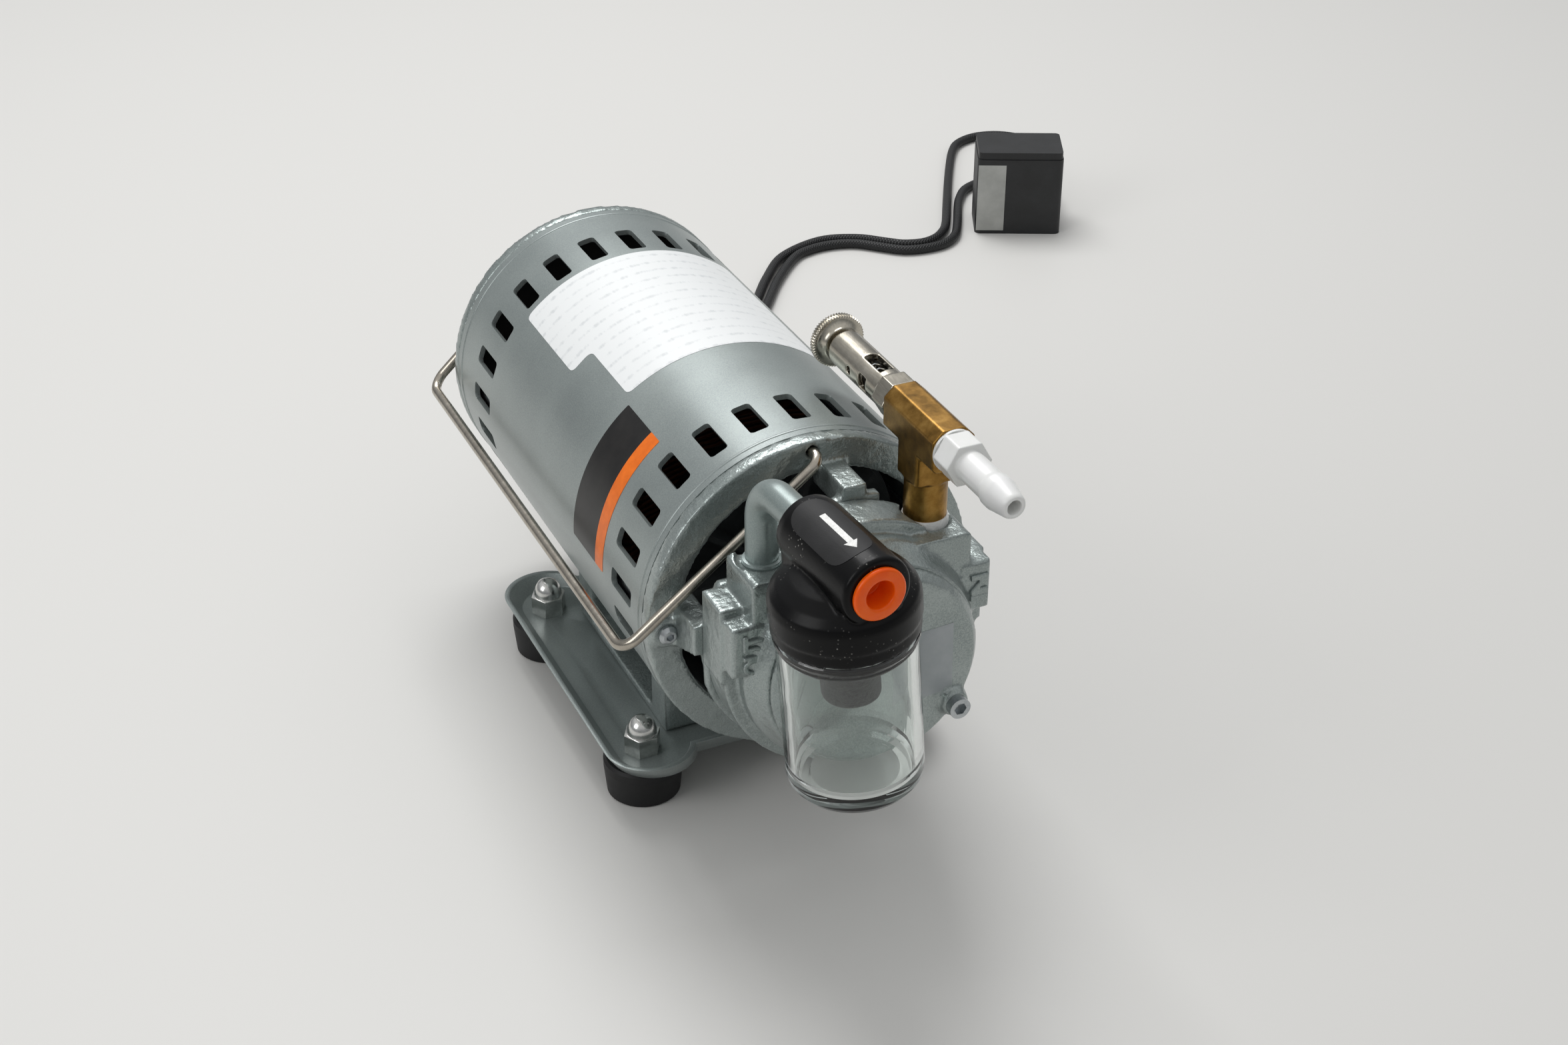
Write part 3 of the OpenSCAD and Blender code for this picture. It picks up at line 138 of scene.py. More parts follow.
def raise_by(tree, shader, value, depth_mm, strength, **under):
    """Raises the shader's surface by a value, over another bump if one is given."""
    rise = add_node(tree, "ShaderNodeBump", {
        "Height": value, "Distance": depth_mm / 1000, "Strength": strength, **under,
    })
    tree.links.new(rise.outputs["Normal"], shader.inputs["Normal"])


def mottled(name, clouds, stops, grain=(), twist=0.0, **shader_values):
    """A finish whose colour drifts in clouds, over a fine raised grain.

    Clouds have a size in mm, a detail and a roughness. A grain has those, a depth in
    mm and a strength.
    """
    made, tree, shader = new_material(name, **shader_values)
    place = add_node(tree, "ShaderNodeTexCoord")
    colour_by(tree, shader, noise(tree, (place, "Object"), *clouds, twist), stops)
    if grain:
        *texture, depth_mm, strength = grain
        grit = noise(tree, (place, "Object"), *texture, twist)
        raise_by(tree, shader, grit, depth_mm, strength)
    return made


def paint_piece(piece, material):
    """Gives a piece one material all over."""
    piece.data.materials.clear()
    piece.data.materials.append(material)


def select_only(piece):
    """Selects one piece and makes it active."""
    bpy.ops.object.select_all(action="DESELECT")
    piece.select_set(True)
    bpy.context.view_layer.objects.active = piece


def smooth_piece(piece, degrees=35):
    """Smooth shading, with edges above an angle left sharp."""
    select_only(piece)
    bpy.ops.object.shade_smooth_by_angle(angle=math.radians(degrees))


def finish_nodes(material, *names, degrees=35):
    """Gives CAD pieces one material and smooth shading."""
    for name in names:
        paint_piece(nodes[name], material)
        smooth_piece(nodes[name], degrees)


def piece_from(shape, name):
    """Turns finished mesh work into a piece of the scene."""
    mesh = bpy.data.meshes.new(name)
    shape.to_mesh(mesh)
    shape.free()
    made = bpy.data.objects.new(name, mesh)
    scene.collection.objects.link(made)
    return made


def curve_through(points, step=0.0035):
    """A smooth curve through all points, with straight first and last pieces."""
    points = [Vector(p) for p in points]
    ends = [2 * points[0] - points[1]] + points + [2 * points[-1] - points[-2]]
    line = []
    for a, b, c, d in zip(ends, ends[1:], ends[2:], ends[3:]):
        count = max(1, round((c - b).length / step))
        for k in range(count):
            t = k / count
            line.append(0.5 * (
                2 * b + (c - a) * t + (2 * a - 5 * b + 4 * c - d) * t * t
                + (3 * b - a - 3 * c + d) * t ** 3
            ))
    return line + [points[-1]]


def tube_along(name, line, radius, sides=16):
    """A mesh tube with flat ends and a UV map: u round it, v along it, in turns.

    The radius is a number, or a function of the distance along the line.
    """
    shape = bmesh.new()
    uv = shape.loops.layers.uv.new("UVMap")
    rings, travel = [], [0.0]
    side = None
    for i, p in enumerate(line):
        heading = (line[min(i + 1, len(line) - 1)] - line[max(i - 1, 0)]).normalized()
        if side is None:
            side = heading.cross(Vector((0, 0, 1)))
            side = (side if side.length > 0.1 else Vector((1, 0, 0))).normalized()
        side = (side - heading * side.dot(heading)).normalized()
        up = heading.cross(side)
        if i:
            travel.append(travel[-1] + (p - line[i - 1]).length)
        r = radius(travel[-1]) if callable(radius) else radius
        rings.append([
            shape.verts.new(p + r * (
                math.cos(2 * math.pi * k / sides) * side
                + math.sin(2 * math.pi * k / sides) * up
            ))
            for k in range(sides)
        ])
    lap = 2 * math.pi * r
    for i in range(len(rings) - 1):
        for k in range(sides):
            n = (k + 1) % sides
            face = shape.faces.new([rings[i][k], rings[i][n], rings[i + 1][n], rings[i + 1][k]])
            face.smooth = True
            corners = [(k, i), (k + 1, i), (k + 1, i + 1), (k, i + 1)]
            for loop, (a, b) in zip(face.loops, corners):
                loop[uv].uv = (a / sides, travel[b] / lap)
    shape.faces.new(rings[0][::-1])
    shape.faces.new(rings[-1])
    bmesh.ops.recalc_face_normals(shape, faces=shape.faces)
    return piece_from(shape, name)


def metres(points):
    """Points in millimetres, in metres."""
    return [tuple(c / 1000.0 for c in p) for p in points]


# Braided nylon sleeve: black monofilament plaits, each about 1.3 mm wide, that
# cross at an angle; their crests are painted lighter grey, a painted highlight.
sleeve, tree, shader = new_material(
    "braided_nylon_sleeve", Roughness=0.46, Specular_IOR_Level=0.45
)
uv_map = add_node(tree, "ShaderNodeUVMap", uv_map="UVMap")
plait_count = 12
plaits = []
for lean in (1, -1):
    mapped = add_node(
        tree, "ShaderNodeMapping",
        {"Vector": (uv_map, 0), "Rotation": (0, 0, lean * math.radians(45))},
    )
    plaits.append(add_node(
        tree, "ShaderNodeTexWave",
        {"Vector": (mapped, 0), "Scale": plait_count / 2 / math.sqrt(2), "Distortion": 0.0},
        wave_type="BANDS", bands_direction="X", wave_profile="SIN",
    ))
crossing = combined(tree, (plaits[0], "Fac"), (plaits[1], "Fac"))
fuzz_mm, plait_depth_mm = 0.8, 0.35
fuzz = noise(tree, (add_node(tree, "ShaderNodeTexCoord"), "Object"), fuzz_mm, 3.0, 0.5)
# Painted highlight: where the plaits cross, the black nylon is painted lighter grey, on top of
# the plaits' bump.
colour_by(
    tree, shader, combined(tree, crossing, fuzz),
    [(0.0, "#08090A"), (0.35, "#17181A"), (0.9, "#34363A")],
)
raise_by(tree, shader, crossing, plait_depth_mm, 0.8)

lead_d = 0.005
floor_lead = 2.6
gland_exit = (36, 134, 112)
box_turn, box_at, box_depth = math.radians(-25.5), (318, 319), 30
box_back = (math.sin(-box_turn), math.cos(-box_turn))


def box_point(x, z, out=0):
    """A point on the back of the capacitor's box, or out behind it."""
    far = box_depth + out
    return (
        box_at[0] + x * math.cos(box_turn) + far * box_back[0],
        box_at[1] + x * math.sin(box_turn) + far * box_back[1],
        z,
    )


motor_route = [
    gland_exit, (36, 152, 111), (40, 170, 102), (50, 188, 80), (62, 202, 52),
    (78, 219, 24), (100, 240, 7), (124, 264, floor_lead + 0.8), (149, 294, floor_lead),
    (167, 319, floor_lead), (186, 340, floor_lead), (212, 350, floor_lead),
    (232, 345, floor_lead), (245, 334, floor_lead), (252, 328, floor_lead),
    (262, 325, floor_lead), (271, 327, floor_lead), (279, 333, floor_lead),
    (286, 342, floor_lead), (299, 365, floor_lead), (312, 388, floor_lead),
    (326, 412, floor_lead), (338, 431, floor_lead), (347, 441, floor_lead),
    (360, 446, floor_lead), (373, 444, floor_lead), (383, 436, floor_lead),
    (387, 424, floor_lead), (384, 410, floor_lead), (371, 384, floor_lead + 4),
    box_point(20, floor_lead + 12, 16), box_point(20, floor_lead + 12),
]
mains_route = [
    box_point(12, floor_lead + 10), box_point(12, floor_lead + 10, 14),
    (351, 365, floor_lead + 6), (348, 375, floor_lead + 3), (340, 382, floor_lead + 1),
    (329, 384, floor_lead), (318, 379, floor_lead), (310, 370, floor_lead),
    (304, 361, floor_lead), (291, 338, floor_lead), (283, 326, floor_lead),
    (273, 319, floor_lead), (260, 318, floor_lead), (249, 321, floor_lead),
    (240, 329, floor_lead), (229, 339, floor_lead), (216, 343, floor_lead),
    (203, 342, floor_lead), (191, 336, floor_lead), (172, 315, floor_lead),
    (154, 290, floor_lead), (134, 263, floor_lead), (121, 241, floor_lead),
    (115, 221, floor_lead), (113, 202, floor_lead), (110, 189, floor_lead),
    (102, 181, floor_lead), (91, 178, floor_lead), (79, 182, floor_lead),
    (72, 190, floor_lead),
]
coil_at, coil_r, coil_pitch, coil_rise, coil_turns = (35, 205), 34.5, 5.9, 5.9, 5.5


def coil_point(turn):
    """A point of the coil's middle line: a flat spiral in, and out on top of it."""
    half = coil_turns / 2
    r = coil_r - coil_pitch * (turn if turn < half else coil_turns - turn)
    rise = min(1.0, max(0.0, (turn - half + 0.25) / 0.5))
    z = floor_lead + coil_rise * rise * rise * (3 - 2 * rise)
    a = 2 * math.pi * turn
    return (coil_at[0] + r * math.cos(a), coil_at[1] + r * math.sin(a), z)


coil_ring = 24
coil_count = round(coil_turns * coil_ring)
start, stop = coil_point(0), coil_point(coil_turns)
coil_route = (
    [(start[0], start[1] - 5, start[2])]
    + [coil_point(i / coil_ring) for i in range(coil_count + 1)]
    + [(stop[0], stop[1] - 5, stop[2])]
)
plug_at = (stop[0], stop[1] - 5 - 26, 12.1)
plug_route = [
    (stop[0], stop[1] - 13, stop[2]), (plug_at[0], plug_at[1] + 8, plug_at[2]), plug_at
]

motor_line = curve_through(metres(motor_route))
motor_lead = tube_along("motor_lead_sleeve", motor_line, lead_d / 2 - 0.00002)
mains_line = curve_through(metres(mains_route + coil_route + plug_route))
mains_lead = tube_along("mains_lead_sleeve", mains_line, lead_d / 2 - 0.00002)
for lead in (motor_lead, mains_lead):
    paint_piece(lead, sleeve)
    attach(lead, "pump")
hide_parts("motor_lead")
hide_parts("mains_lead", "lead_coil", "plug_lead")

# The boots are satin black PVC, ribbed and tapered.
boot_pvc = mottled(
    "moulded_pvc_boot", (5.0, 4.0, 0.6), [(0.35, "#111112"), (0.68, "#1B1B1C")],
    (0.6, 2.0, 0.6, 0.02, 0.6), Roughness=0.5, Specular_IOR_Level=0.35,
)
boot_groove, groove_pitch, groove_width = 0.45, 3.4, 1.1


def ribbed_boot(name, route, length, thick, thin):
    """A boot on the first part of a route, from thick to thin in radius, in mm."""
    line, far = [], 0.0
    for p in curve_through(metres(route), 0.0005):
        far += (p - line[-1]).length if line else 0.0
        if far > length / 1000:
            break
        line.append(p)

    def boot_radius(d):
        share = d * 1000 / length
        in_groove = (d * 1000) % groove_pitch > groove_pitch - groove_width
        cut = boot_groove if in_groove and 0.15 < share < 0.93 else 0.0
        return (thick + (thin - thick) * share - cut) / 1000

    made = tube_along(name, line, boot_radius, 32)
    smooth_piece(made, 40)
    paint_piece(made, boot_pvc)
    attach(made, "pump")
    return made


motor_boots = [
    ribbed_boot("gland_boot", motor_route[:5], 24, 4.6, 3.3),
    ribbed_boot("box_motor_lead_boot", motor_route[:-6:-1], 20, 3.8, 3.0),
]
mains_boots = [
    ribbed_boot("box_mains_lead_boot", mains_route[:5], 20, 3.8, 3.0),
    ribbed_boot("plug_boot", (coil_route + plug_route)[:-7:-1], 20, 4.6, 3.3),
]


# Motor shell
# A rolled sheet steel tube with two rings of punched cooling slots, sprayed with a
# silver grey lacquer that holds fine metal flakes. The castings clamp it at both ends.
def copy_of(node, name, body="pump"):
    """A merged copy of a CAD node, as a piece that stands for it."""
    mesh = nodes[node].data.copy()
    made = bpy.data.objects.new(name, mesh)
    scene.collection.objects.link(made)
    shape = bmesh.new()
    shape.from_mesh(mesh)
    bmesh.ops.remove_doubles(shape, verts=shape.verts, dist=0.00001)
    bmesh.ops.dissolve_limit(
        shape, angle_limit=math.radians(0.4), verts=shape.verts, edges=shape.edges
    )
    shape.to_mesh(mesh)
    shape.free()
    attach(made, body)
    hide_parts(node)
    return made


def apply_modifiers(piece):
    """Applies all of a piece's modifiers in turn."""
    select_only(piece)
    for name in [modifier.name for modifier in piece.modifiers]:
        bpy.ops.object.modifier_apply(modifier=name)


def soften(piece, width_mm, segments=2, angle=32):
    """Rounds a piece's sharp edges with a small bevel."""
    edge = piece.modifiers.new("edge", "BEVEL")
    edge.width = width_mm / 1000.0
    edge.segments = segments
    edge.limit_method = "ANGLE"
    edge.angle_limit = math.radians(angle)
    apply_modifiers(piece)
    smooth_piece(piece, 40)


flake_size, cloud_size, peel_size = 0.45, 45.0, 1.6


def lacquer(name, low, high, metal, rough, grit_mm, grit_depth, lump_mm, lump_depth):
    """Silver grey lacquer: metal flakes, orange peel and the surface under it."""
    made, tree, shader = new_material(
        name, Metallic=metal, Coat_Weight=0.18, Coat_Roughness=0.28
    )
    place = add_node(tree, "ShaderNodeTexCoord")
    flakes, clouds, lumps, grit = (
        noise(tree, (place, "Object"), *texture)
        for texture in (
            (flake_size, 1.0, 0.6), (cloud_size, 3.0, 0.55), (lump_mm, 3.0, 0.55),
            (grit_mm, 2.0, 0.6),
        )
    )
    mean = combined(tree, combined(tree, flakes, clouds, "ADD"), 0.5)
    colour_by(tree, shader, mean, [(0.36, low), (0.64, high)])
    dull_by(tree, shader, clouds, rough - 0.05, rough + 0.07)
    under = add_node(
        tree, "ShaderNodeBump",
        {"Height": lumps, "Distance": lump_depth / 1000, "Strength": 0.7},
    )
    raise_by(tree, shader, grit, grit_depth, 0.6, Normal=(under, "Normal"))
    return made


# Sprayed on flat sheet it lies smooth: soft highlights with a fine sparkle.
shell_lacquer = lacquer(
    "silver_grey_lacquer_on_sheet", "#868E8D", "#9CA4A2", 0.5, 0.34,
    peel_size, 0.012, 28.0, 0.05,
)
# On a casting the metal's grain and the mould's waves show through it.
casting_lacquer = lacquer(
    "silver_grey_lacquer_on_casting", "#818B89", "#A6AEAC", 0.62, 0.27, 1.2, 0.2, 4.5, 0.75
)

shell_r, foot_set, axis_h = 60.0, 80.0, 92.0


def true_round(piece):
    """Points the normals of a tube's walls straight out from the shaft's axis."""
    weights = piece.modifiers.new("weights", "WEIGHTED_NORMAL")
    weights.mode = "FACE_AREA"
    weights.weight = 90
    apply_modifiers(piece)
    mesh = piece.data
    normals = [corner.vector.copy() for corner in mesh.corner_normals]
    walls = {}
    outward = [Vector((v.co.x, 0, v.co.z - axis_h / 1000)).normalized() for v in mesh.vertices]
    for face in mesh.polygons:
        out = Vector((face.center.x, 0, face.center.z - axis_h / 1000)).normalized()
        lean = face.normal.dot(out)
        if abs(lean) > 0.985:
            for v in face.vertices:
                walls[v] = 1 if lean > 0 else -1
    for corner in mesh.loops:
        if corner.vertex_index in walls:
            normals[corner.index] = outward[corner.vertex_index] * walls[corner.vertex_index]
    mesh.normals_split_custom_set(normals)


shell = copy_of("motor_shell", "slotted_shell")
soften(shell, 0.4)
true_round(shell)
paint_piece(shell, shell_lacquer)

# A bead is rolled round the tube near each end.
bead_r, bead_sunk = 0.0009, 0.0006
for name, bead_y in (("front_shell_bead", -76.6), ("rear_shell_bead", 113.4)):
    bpy.ops.object.select_all(action="DESELECT")
    bpy.ops.mesh.primitive_torus_add(
        major_radius=shell_r / 1000 - bead_sunk, minor_radius=bead_r, major_segments=160,
        minor_segments=16, location=(0, bead_y / 1000, axis_h / 1000),
        rotation=(math.radians(90), 0, 0),
    )
    bead = bpy.context.object
    bead.name = name
    bpy.ops.object.transform_apply(location=True, rotation=True, scale=True)
    smooth_piece(bead, 60)
    paint_piece(bead, shell_lacquer)
    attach(bead, "pump")

# Motor labels
# One white vinyl rating label with a stepped end and one narrow black and orange
# strip, both stuck round the shell.
def rounded_outline(corners, r, steps=5):
    """A flat outline with its corners rounded to radius r."""
    line = []
    for i, corner in enumerate(corners):
        here = Vector(corner)
        back = (Vector(corners[i - 1]) - here).normalized()
        on = (Vector(corners[(i + 1) % len(corners)]) - here).normalized()
        for k in range(steps + 1):
            t = k / steps
            a, b = here + back * r * (1 - t) ** 2, here + on * r * t ** 2
            line.append(tuple(a + b - here))
    return line


def flat_sheet(outline, strips):
    """A flat face inside an outline, cut into even strips so that it can be wrapped."""
    shape = bmesh.new()
    rim = [shape.verts.new((x, y, 0)) for x, y in outline]
    shape.faces.new(rim)
    low, high = min(v.co.x for v in rim), max(v.co.x for v in rim)
    for k in range(1, strips):
        bmesh.ops.bisect_plane(
            shape, geom=shape.verts[:] + shape.edges[:] + shape.faces[:], dist=1e-5,
            plane_co=(low + (high - low) * k / strips, 0, 0), plane_no=(1, 0, 0),
        )
    return shape


def stuck_sheet(shape, name, outward, thickness):
    """Faces a wrapped sheet outwards and gives it its thickness, as a piece."""
    bmesh.ops.recalc_face_normals(shape, faces=shape.faces)
    if sum(f.normal.dot(outward) for f in shape.faces) < 0:
        bmesh.ops.reverse_faces(shape, faces=shape.faces)
    made = piece_from(shape, name)
    sheet = made.modifiers.new("sheet", "SOLIDIFY")
    sheet.thickness = thickness
    sheet.offset = -1.0
    apply_modifiers(made)
    smooth_piece(made, 40)
    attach(made, "pump")
    return made


def wrapped_label(name, corners, r, lift_mm, wrap_r, strips):
    """A thin sheet cut to an outline of (arc, station) and wrapped round the shaft's axis."""
    shape = flat_sheet(rounded_outline(corners, r), strips)
    uv = shape.loops.layers.uv.new("UVMap")
    for face in shape.faces:
        for loop in face.loops:
            loop[uv].uv = (loop.vert.co.x / 100.0, loop.vert.co.y / 100.0)
    for v in shape.verts:
        angle, y = v.co.x / wrap_r, v.co.y
        far = wrap_r + lift_mm
        v.co = Vector((
            far * math.sin(angle), y - foot_set, far * math.cos(angle) + axis_h
        )) / 1000.0
    middle = sum((f.calc_center_median() for f in shape.faces), Vector()) / len(shape.faces)
    outward = Vector((middle.x, 0, middle.z - axis_h / 1000.0))
    return stuck_sheet(shape, name, outward, 0.0001)


def arc(degrees):
    """Length round the shell for an angle from its top."""
    return math.radians(degrees) * shell_r


rating_label = wrapped_label(
    "rating_label",
    [(arc(-46.5), 106), (arc(-36.5), 106), (arc(-36.5), 70), (arc(41), 70), (arc(41), 155),
     (arc(-46.5), 155)],
    3.0, 0.11, shell_r, 44,
)
# White vinyl, satin, with faint broken grey rows 3.4 mm apart.
row_pitch = 3.4
vinyl, tree, shader = new_material("white_vinyl_label", Roughness=0.34)
uv_map = add_node(tree, "ShaderNodeUVMap", uv_map="UVMap")
rows = add_node(
    tree, "ShaderNodeTexWave",
    {"Vector": (uv_map, 0), "Scale": 100 / row_pitch / 6.2832, "Distortion": 0.0},
    wave_type="BANDS", bands_direction="Y", wave_profile="SIN",
)
stretched = add_node(
    tree, "ShaderNodeMapping", {"Vector": (uv_map, 0), "Scale": (1.0, 0.28, 1.0)}
)
breaks = add_node(
    tree, "ShaderNodeTexNoise",
    {"Vector": (stretched, 0), "Scale": 34.0, "Detail": 3.0, "Roughness": 0.7},
)
inked = combined(tree, (rows, "Fac"), (breaks, "Fac"))
colour_by(tree, shader, inked, [(0.42, "#E6E8E8"), (0.62, "#D2D5D6")])
paint_piece(rating_label, vinyl)

# Printed polyester: black and orange, a little scuffed.
strip_inks = {
    ink: mottled(
        ink + "_printed_polyester", (6.0, 5.0, 0.65), [(0.35, deep), (0.7, pale)],
        Roughness=0.34, Specular_IOR_Level=0.35,
    )
    for ink, deep, pale in (
        ("black", "#131212", "#201E1D"), ("orange", "#D9650F", "#F2781A")
    )
}
for name, y0, y1, slot in (
    ("black_strip", 43.6, 65.0, "black_plastic"), ("orange_strip", 36.4, 43.6, "orange_plastic")
):
    strip = wrapped_label(
        name, [(arc(-90), y0), (arc(-38.6), y0), (arc(-38.6), y1), (arc(-90), y1)],
        0.6, 0.11, shell_r, 26,
    )
    paint_piece(strip, strip_inks[name.split("_")[0]])

# End castings and saddle
# Die castings in the same lacquer: a spoked front ring, a domed rear cover and the
# saddle that carries the shell. The mould leaves every edge rounded.
def cast_form(piece, grain_mm, rounds):
    """Gives a piece small even faces and smooths them, which rounds its edges."""
    grain = piece.modifiers.new("grain", "REMESH")
    grain.mode = "VOXEL"
    grain.voxel_size = grain_mm / 1000.0
    grain.use_smooth_shade = True
    rounding = piece.modifiers.new("rounding", "SMOOTH")
    rounding.factor = 0.5
    rounding.iterations = rounds
    apply_modifiers(piece)
    bpy.ops.object.shade_smooth()


def cast_copy(node, name, grain_mm, rounds, material):
    """A copy of a CAD node, in cast form and painted."""
    made = copy_of(node, name)
    cast_form(made, grain_mm, rounds)
    paint_piece(made, material)


arm_under, arm_back, arm_length = 0.081, -0.086, 0.018
arm_lift, arm_narrows = 0.004, 0.007
front_ring = copy_of("front_casting", "front_ring_casting")
# Its left arm narrows towards the pump, over the air opening.
for v in front_ring.data.vertices:
    under = abs(v.co.z - arm_under) < 0.0006
    if under and v.co.x < -0.04 and v.co.y < arm_back + 0.001:
        v.co.z += arm_lift + arm_narrows * (arm_back - v.co.y) / arm_length
cast_form(front_ring, 1.0, 4)
paint_piece(front_ring, casting_lacquer)
cast_copy("rear_casting", "rear_cover_casting", 1.0, 4, casting_lacquer)
cast_copy("motor_saddle", "saddle_casting", 1.1, 4, casting_lacquer)

# Motor inside
# Stacked steel laminations, copper windings and two ball bearings. A ground shaft
# carries the rotor, and two moulded fans blow through the slots.
stain_size = 9.0


def plain_metal(name, deep, pale, rough, scratch_mm, stretch=(1.0, 1.0, 1.0), depth_mm=0.01):
    """Bare metal with fine marks, which a stretch makes run one way."""
    made, tree, shader = new_material(name, Metallic=1.0)
    place = add_node(tree, "ShaderNodeTexCoord")
    drawn = add_node(
        tree, "ShaderNodeMapping", {"Vector": (place, "Object"), "Scale": stretch}
    )
    marks = noise(tree, (drawn, 0), scratch_mm, 4.0, 0.6)
    stains = noise(tree, (place, "Object"), stain_size, 3.0, 0.55)
    mean = combined(tree, combined(tree, marks, stains, "ADD"), 0.5)
    colour_by(tree, shader, mean, [(0.35, deep), (0.65, pale)])
    dull_by(tree, shader, mean, rough - 0.08, rough + 0.1)
    raise_by(tree, shader, marks, depth_mm, 0.5)
    return made


# Half millimetre laminations, drawn as rings twice that thick so that they show.
laminations = plain_metal(
    "stacked_steel_laminations", "#4A4D4F", "#75797B", 0.42, 1.0, (0.05, 1.0, 0.05), 0.12
)
ground_steel = plain_metal("ground_steel", "#A9ACAD", "#C6C8C9", 0.2, 0.7, (0.1, 1.0, 0.1))
plated_steel = plain_metal("zinc_plated_steel", "#A3A8AA", "#C2C6C8", 0.3, 1.2)

# Enamelled copper wire, about a millimetre thick, wound round the core's ends. Its
# dark brown is partly the varnish's colour and partly painted shade, as the windings sit in
# shadow inside the shell.
strand_pitch, strand_depth = 1.1, 0.4
copper, tree, shader = new_material(
    "enamelled_copper_wire_painted_shade", Metallic=0.5, Roughness=0.36, Coat_Weight=0.5
)
place = add_node(tree, "ShaderNodeTexCoord")
strands = add_node(
    tree, "ShaderNodeTexWave",
    {"Vector": (place, "Object"), "Scale": 1000 / strand_pitch / 6.2832, "Distortion": 2.5},
    wave_type="RINGS", rings_direction="Y", wave_profile="SIN",
)
# Darker in the grooves between turns: painted shade, over the strands' bump.
colour_by(tree, shader, (strands, "Fac"), [(0.1, "#1E0F0A"), (0.8, "#5A2E17")])
raise_by(tree, shader, (strands, "Fac"), strand_depth, 0.8)


def moulded_plastic(name, deep, pale, rough, grain_mm, depth_mm, **values):
    """Moulded plastic with the mould's fine grain."""
    return mottled(
        name, (12.0, 4.0, 0.6), [(0.35, deep), (0.68, pale)],
        (grain_mm, 2.0, 0.6, depth_mm, 0.6), Roughness=rough, **values,
    )


fan_nylon = moulded_plastic("glass_filled_nylon_fan", "#2C2E2F", "#3B3E3F", 0.5, 0.7, 0.03)

finish_nodes(laminations, "stator_core", "rotor_core")
finish_nodes(copper, "front_winding", "rear_winding")
finish_nodes(
    ground_steel, "front_bearing_outer", "rear_bearing_outer", "front_bearing_inner",
    "rear_bearing_inner", "motor_shaft",
)
finish_nodes(fan_nylon, "front_fan", "rear_fan")
finish_nodes(plated_steel, "through_bolts")

# A black ring behind the rear fan is a dark sheet put where there is only shade:
# it keeps the inside of the shell dark behind the slots.
shade_ring_r, shade_ring_y, shade_ring_rim, board_t = 0.0572, 0.1045, 0.047, 0.0015
bpy.ops.object.select_all(action="DESELECT")
bpy.ops.mesh.primitive_circle_add(
    vertices=96, radius=shade_ring_r, fill_type="NGON", location=(0, shade_ring_y, axis_h / 1000),
    rotation=(math.radians(90), 0, 0),
)
shade_ring = bpy.context.object
shade_ring.name = "painted_shade_ring"
bpy.ops.object.transform_apply(location=True, rotation=True, scale=True)
bpy.ops.object.mode_set(mode="EDIT")
bpy.ops.mesh.inset(thickness=shade_ring_rim)
bpy.ops.mesh.delete(type="ONLY_FACE")
bpy.ops.object.mode_set(mode="OBJECT")
board = shade_ring.modifiers.new("board", "SOLIDIFY")
board.thickness = board_t
board.offset = 0
apply_modifiers(shade_ring)
soften(shade_ring, 0.2)
# Painted shade: the ring is black so that it stands for the shade inside the shell.
paint_piece(
    shade_ring, moulded_plastic("black_painted_shade_ring", "#101010", "#1C1B1A", 0.7, 0.5, 0.04),
)
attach(shade_ring, "pump")

# Pump head
# A cast body with an inlet and an outlet boss, each with its name raised beside it,
# closed by a cast front plate on three socket screws. Inside, a steel rotor and
# carbon vanes.
def raised_word(word, across, low, high, front, width, raise_mm, bold=0.055, root=1.5):
    """A cast word that reads upwards on a face that looks forward, rooted in it."""
    bpy.ops.object.select_all(action="DESELECT")
    bpy.ops.object.text_add()
    made = bpy.context.object
    made.data.body = word
    made.data.align_x = "CENTER"
    made.data.align_y = "CENTER"
    made.data.extrude = 0.5
    made.data.offset = bold
    bpy.ops.object.convert(target="MESH")
    size = made.dimensions
    xs = [v.co.x for v in made.data.vertices]
    ys = [v.co.y for v in made.data.vertices]
    mid_x, mid_y = (min(xs) + max(xs)) / 2, (min(ys) + max(ys)) / 2
    for v in made.data.vertices:
        along, over, out = (v.co.x - mid_x) / size.x, (v.co.y - mid_y) / size.y, v.co.z
        v.co = Vector((
            across - over * width,
            front - (out + 0.5) * (raise_mm + root) + root,
            (low + high) / 2 + along * (high - low),
        )) / 1000.0
    return made


pad_front, port_x, port_y = -126.2, 0.0295, -0.1105
cast_copy("pump_body", "pump_body_casting", 0.75, 3, casting_lacquer)
for word, across, low, high, width, raise_mm in (
    ("OUT", -39.9, 96.2, 111.2, 7.2, 1.1), ("IN", 42.5, 102.4, 112.4, 6.6, 0.8)
):
    letters = raised_word(word, across, low, high, pad_front, width, raise_mm)
    letters.name = "cast_word_" + word.lower()
    cast_form(letters, 0.3, 3)
    paint_piece(letters, casting_lacquer)
    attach(letters, "pump")

cast_copy("front_plate", "front_plate_casting", 0.8, 3, casting_lacquer)

# A faded clear film sticks on the plate.
film = mottled(
    "faded_clear_film", (14.0, 4.0, 0.6), [(0.35, "#9AA1A3"), (0.68, "#ACB1B3")], Roughness=0.3
)
film_w, film_h, film_t, film_lean = 17.0, 26.5, 0.12, 0.03
film_x, film_y, film_z = 18.5, -138.04, axis_h - 1.0
bpy.ops.object.select_all(action="DESELECT")
bpy.ops.mesh.primitive_cube_add(size=1.0)
sticker = bpy.context.object
sticker.name = "plate_sticker"
for v in sticker.data.vertices:
    x, z = v.co.x - film_lean * v.co.z, v.co.z + film_lean * v.co.x
    v.co = Vector((film_x + film_w * x, film_y + film_t * v.co.y, film_z + film_h * z)) / 1000
soften(sticker, 0.04)
paint_piece(sticker, film)
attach(sticker, "pump")

cast_iron = plain_metal("machined_cast_iron", "#6E7172", "#8F9293", 0.38, 1.4)
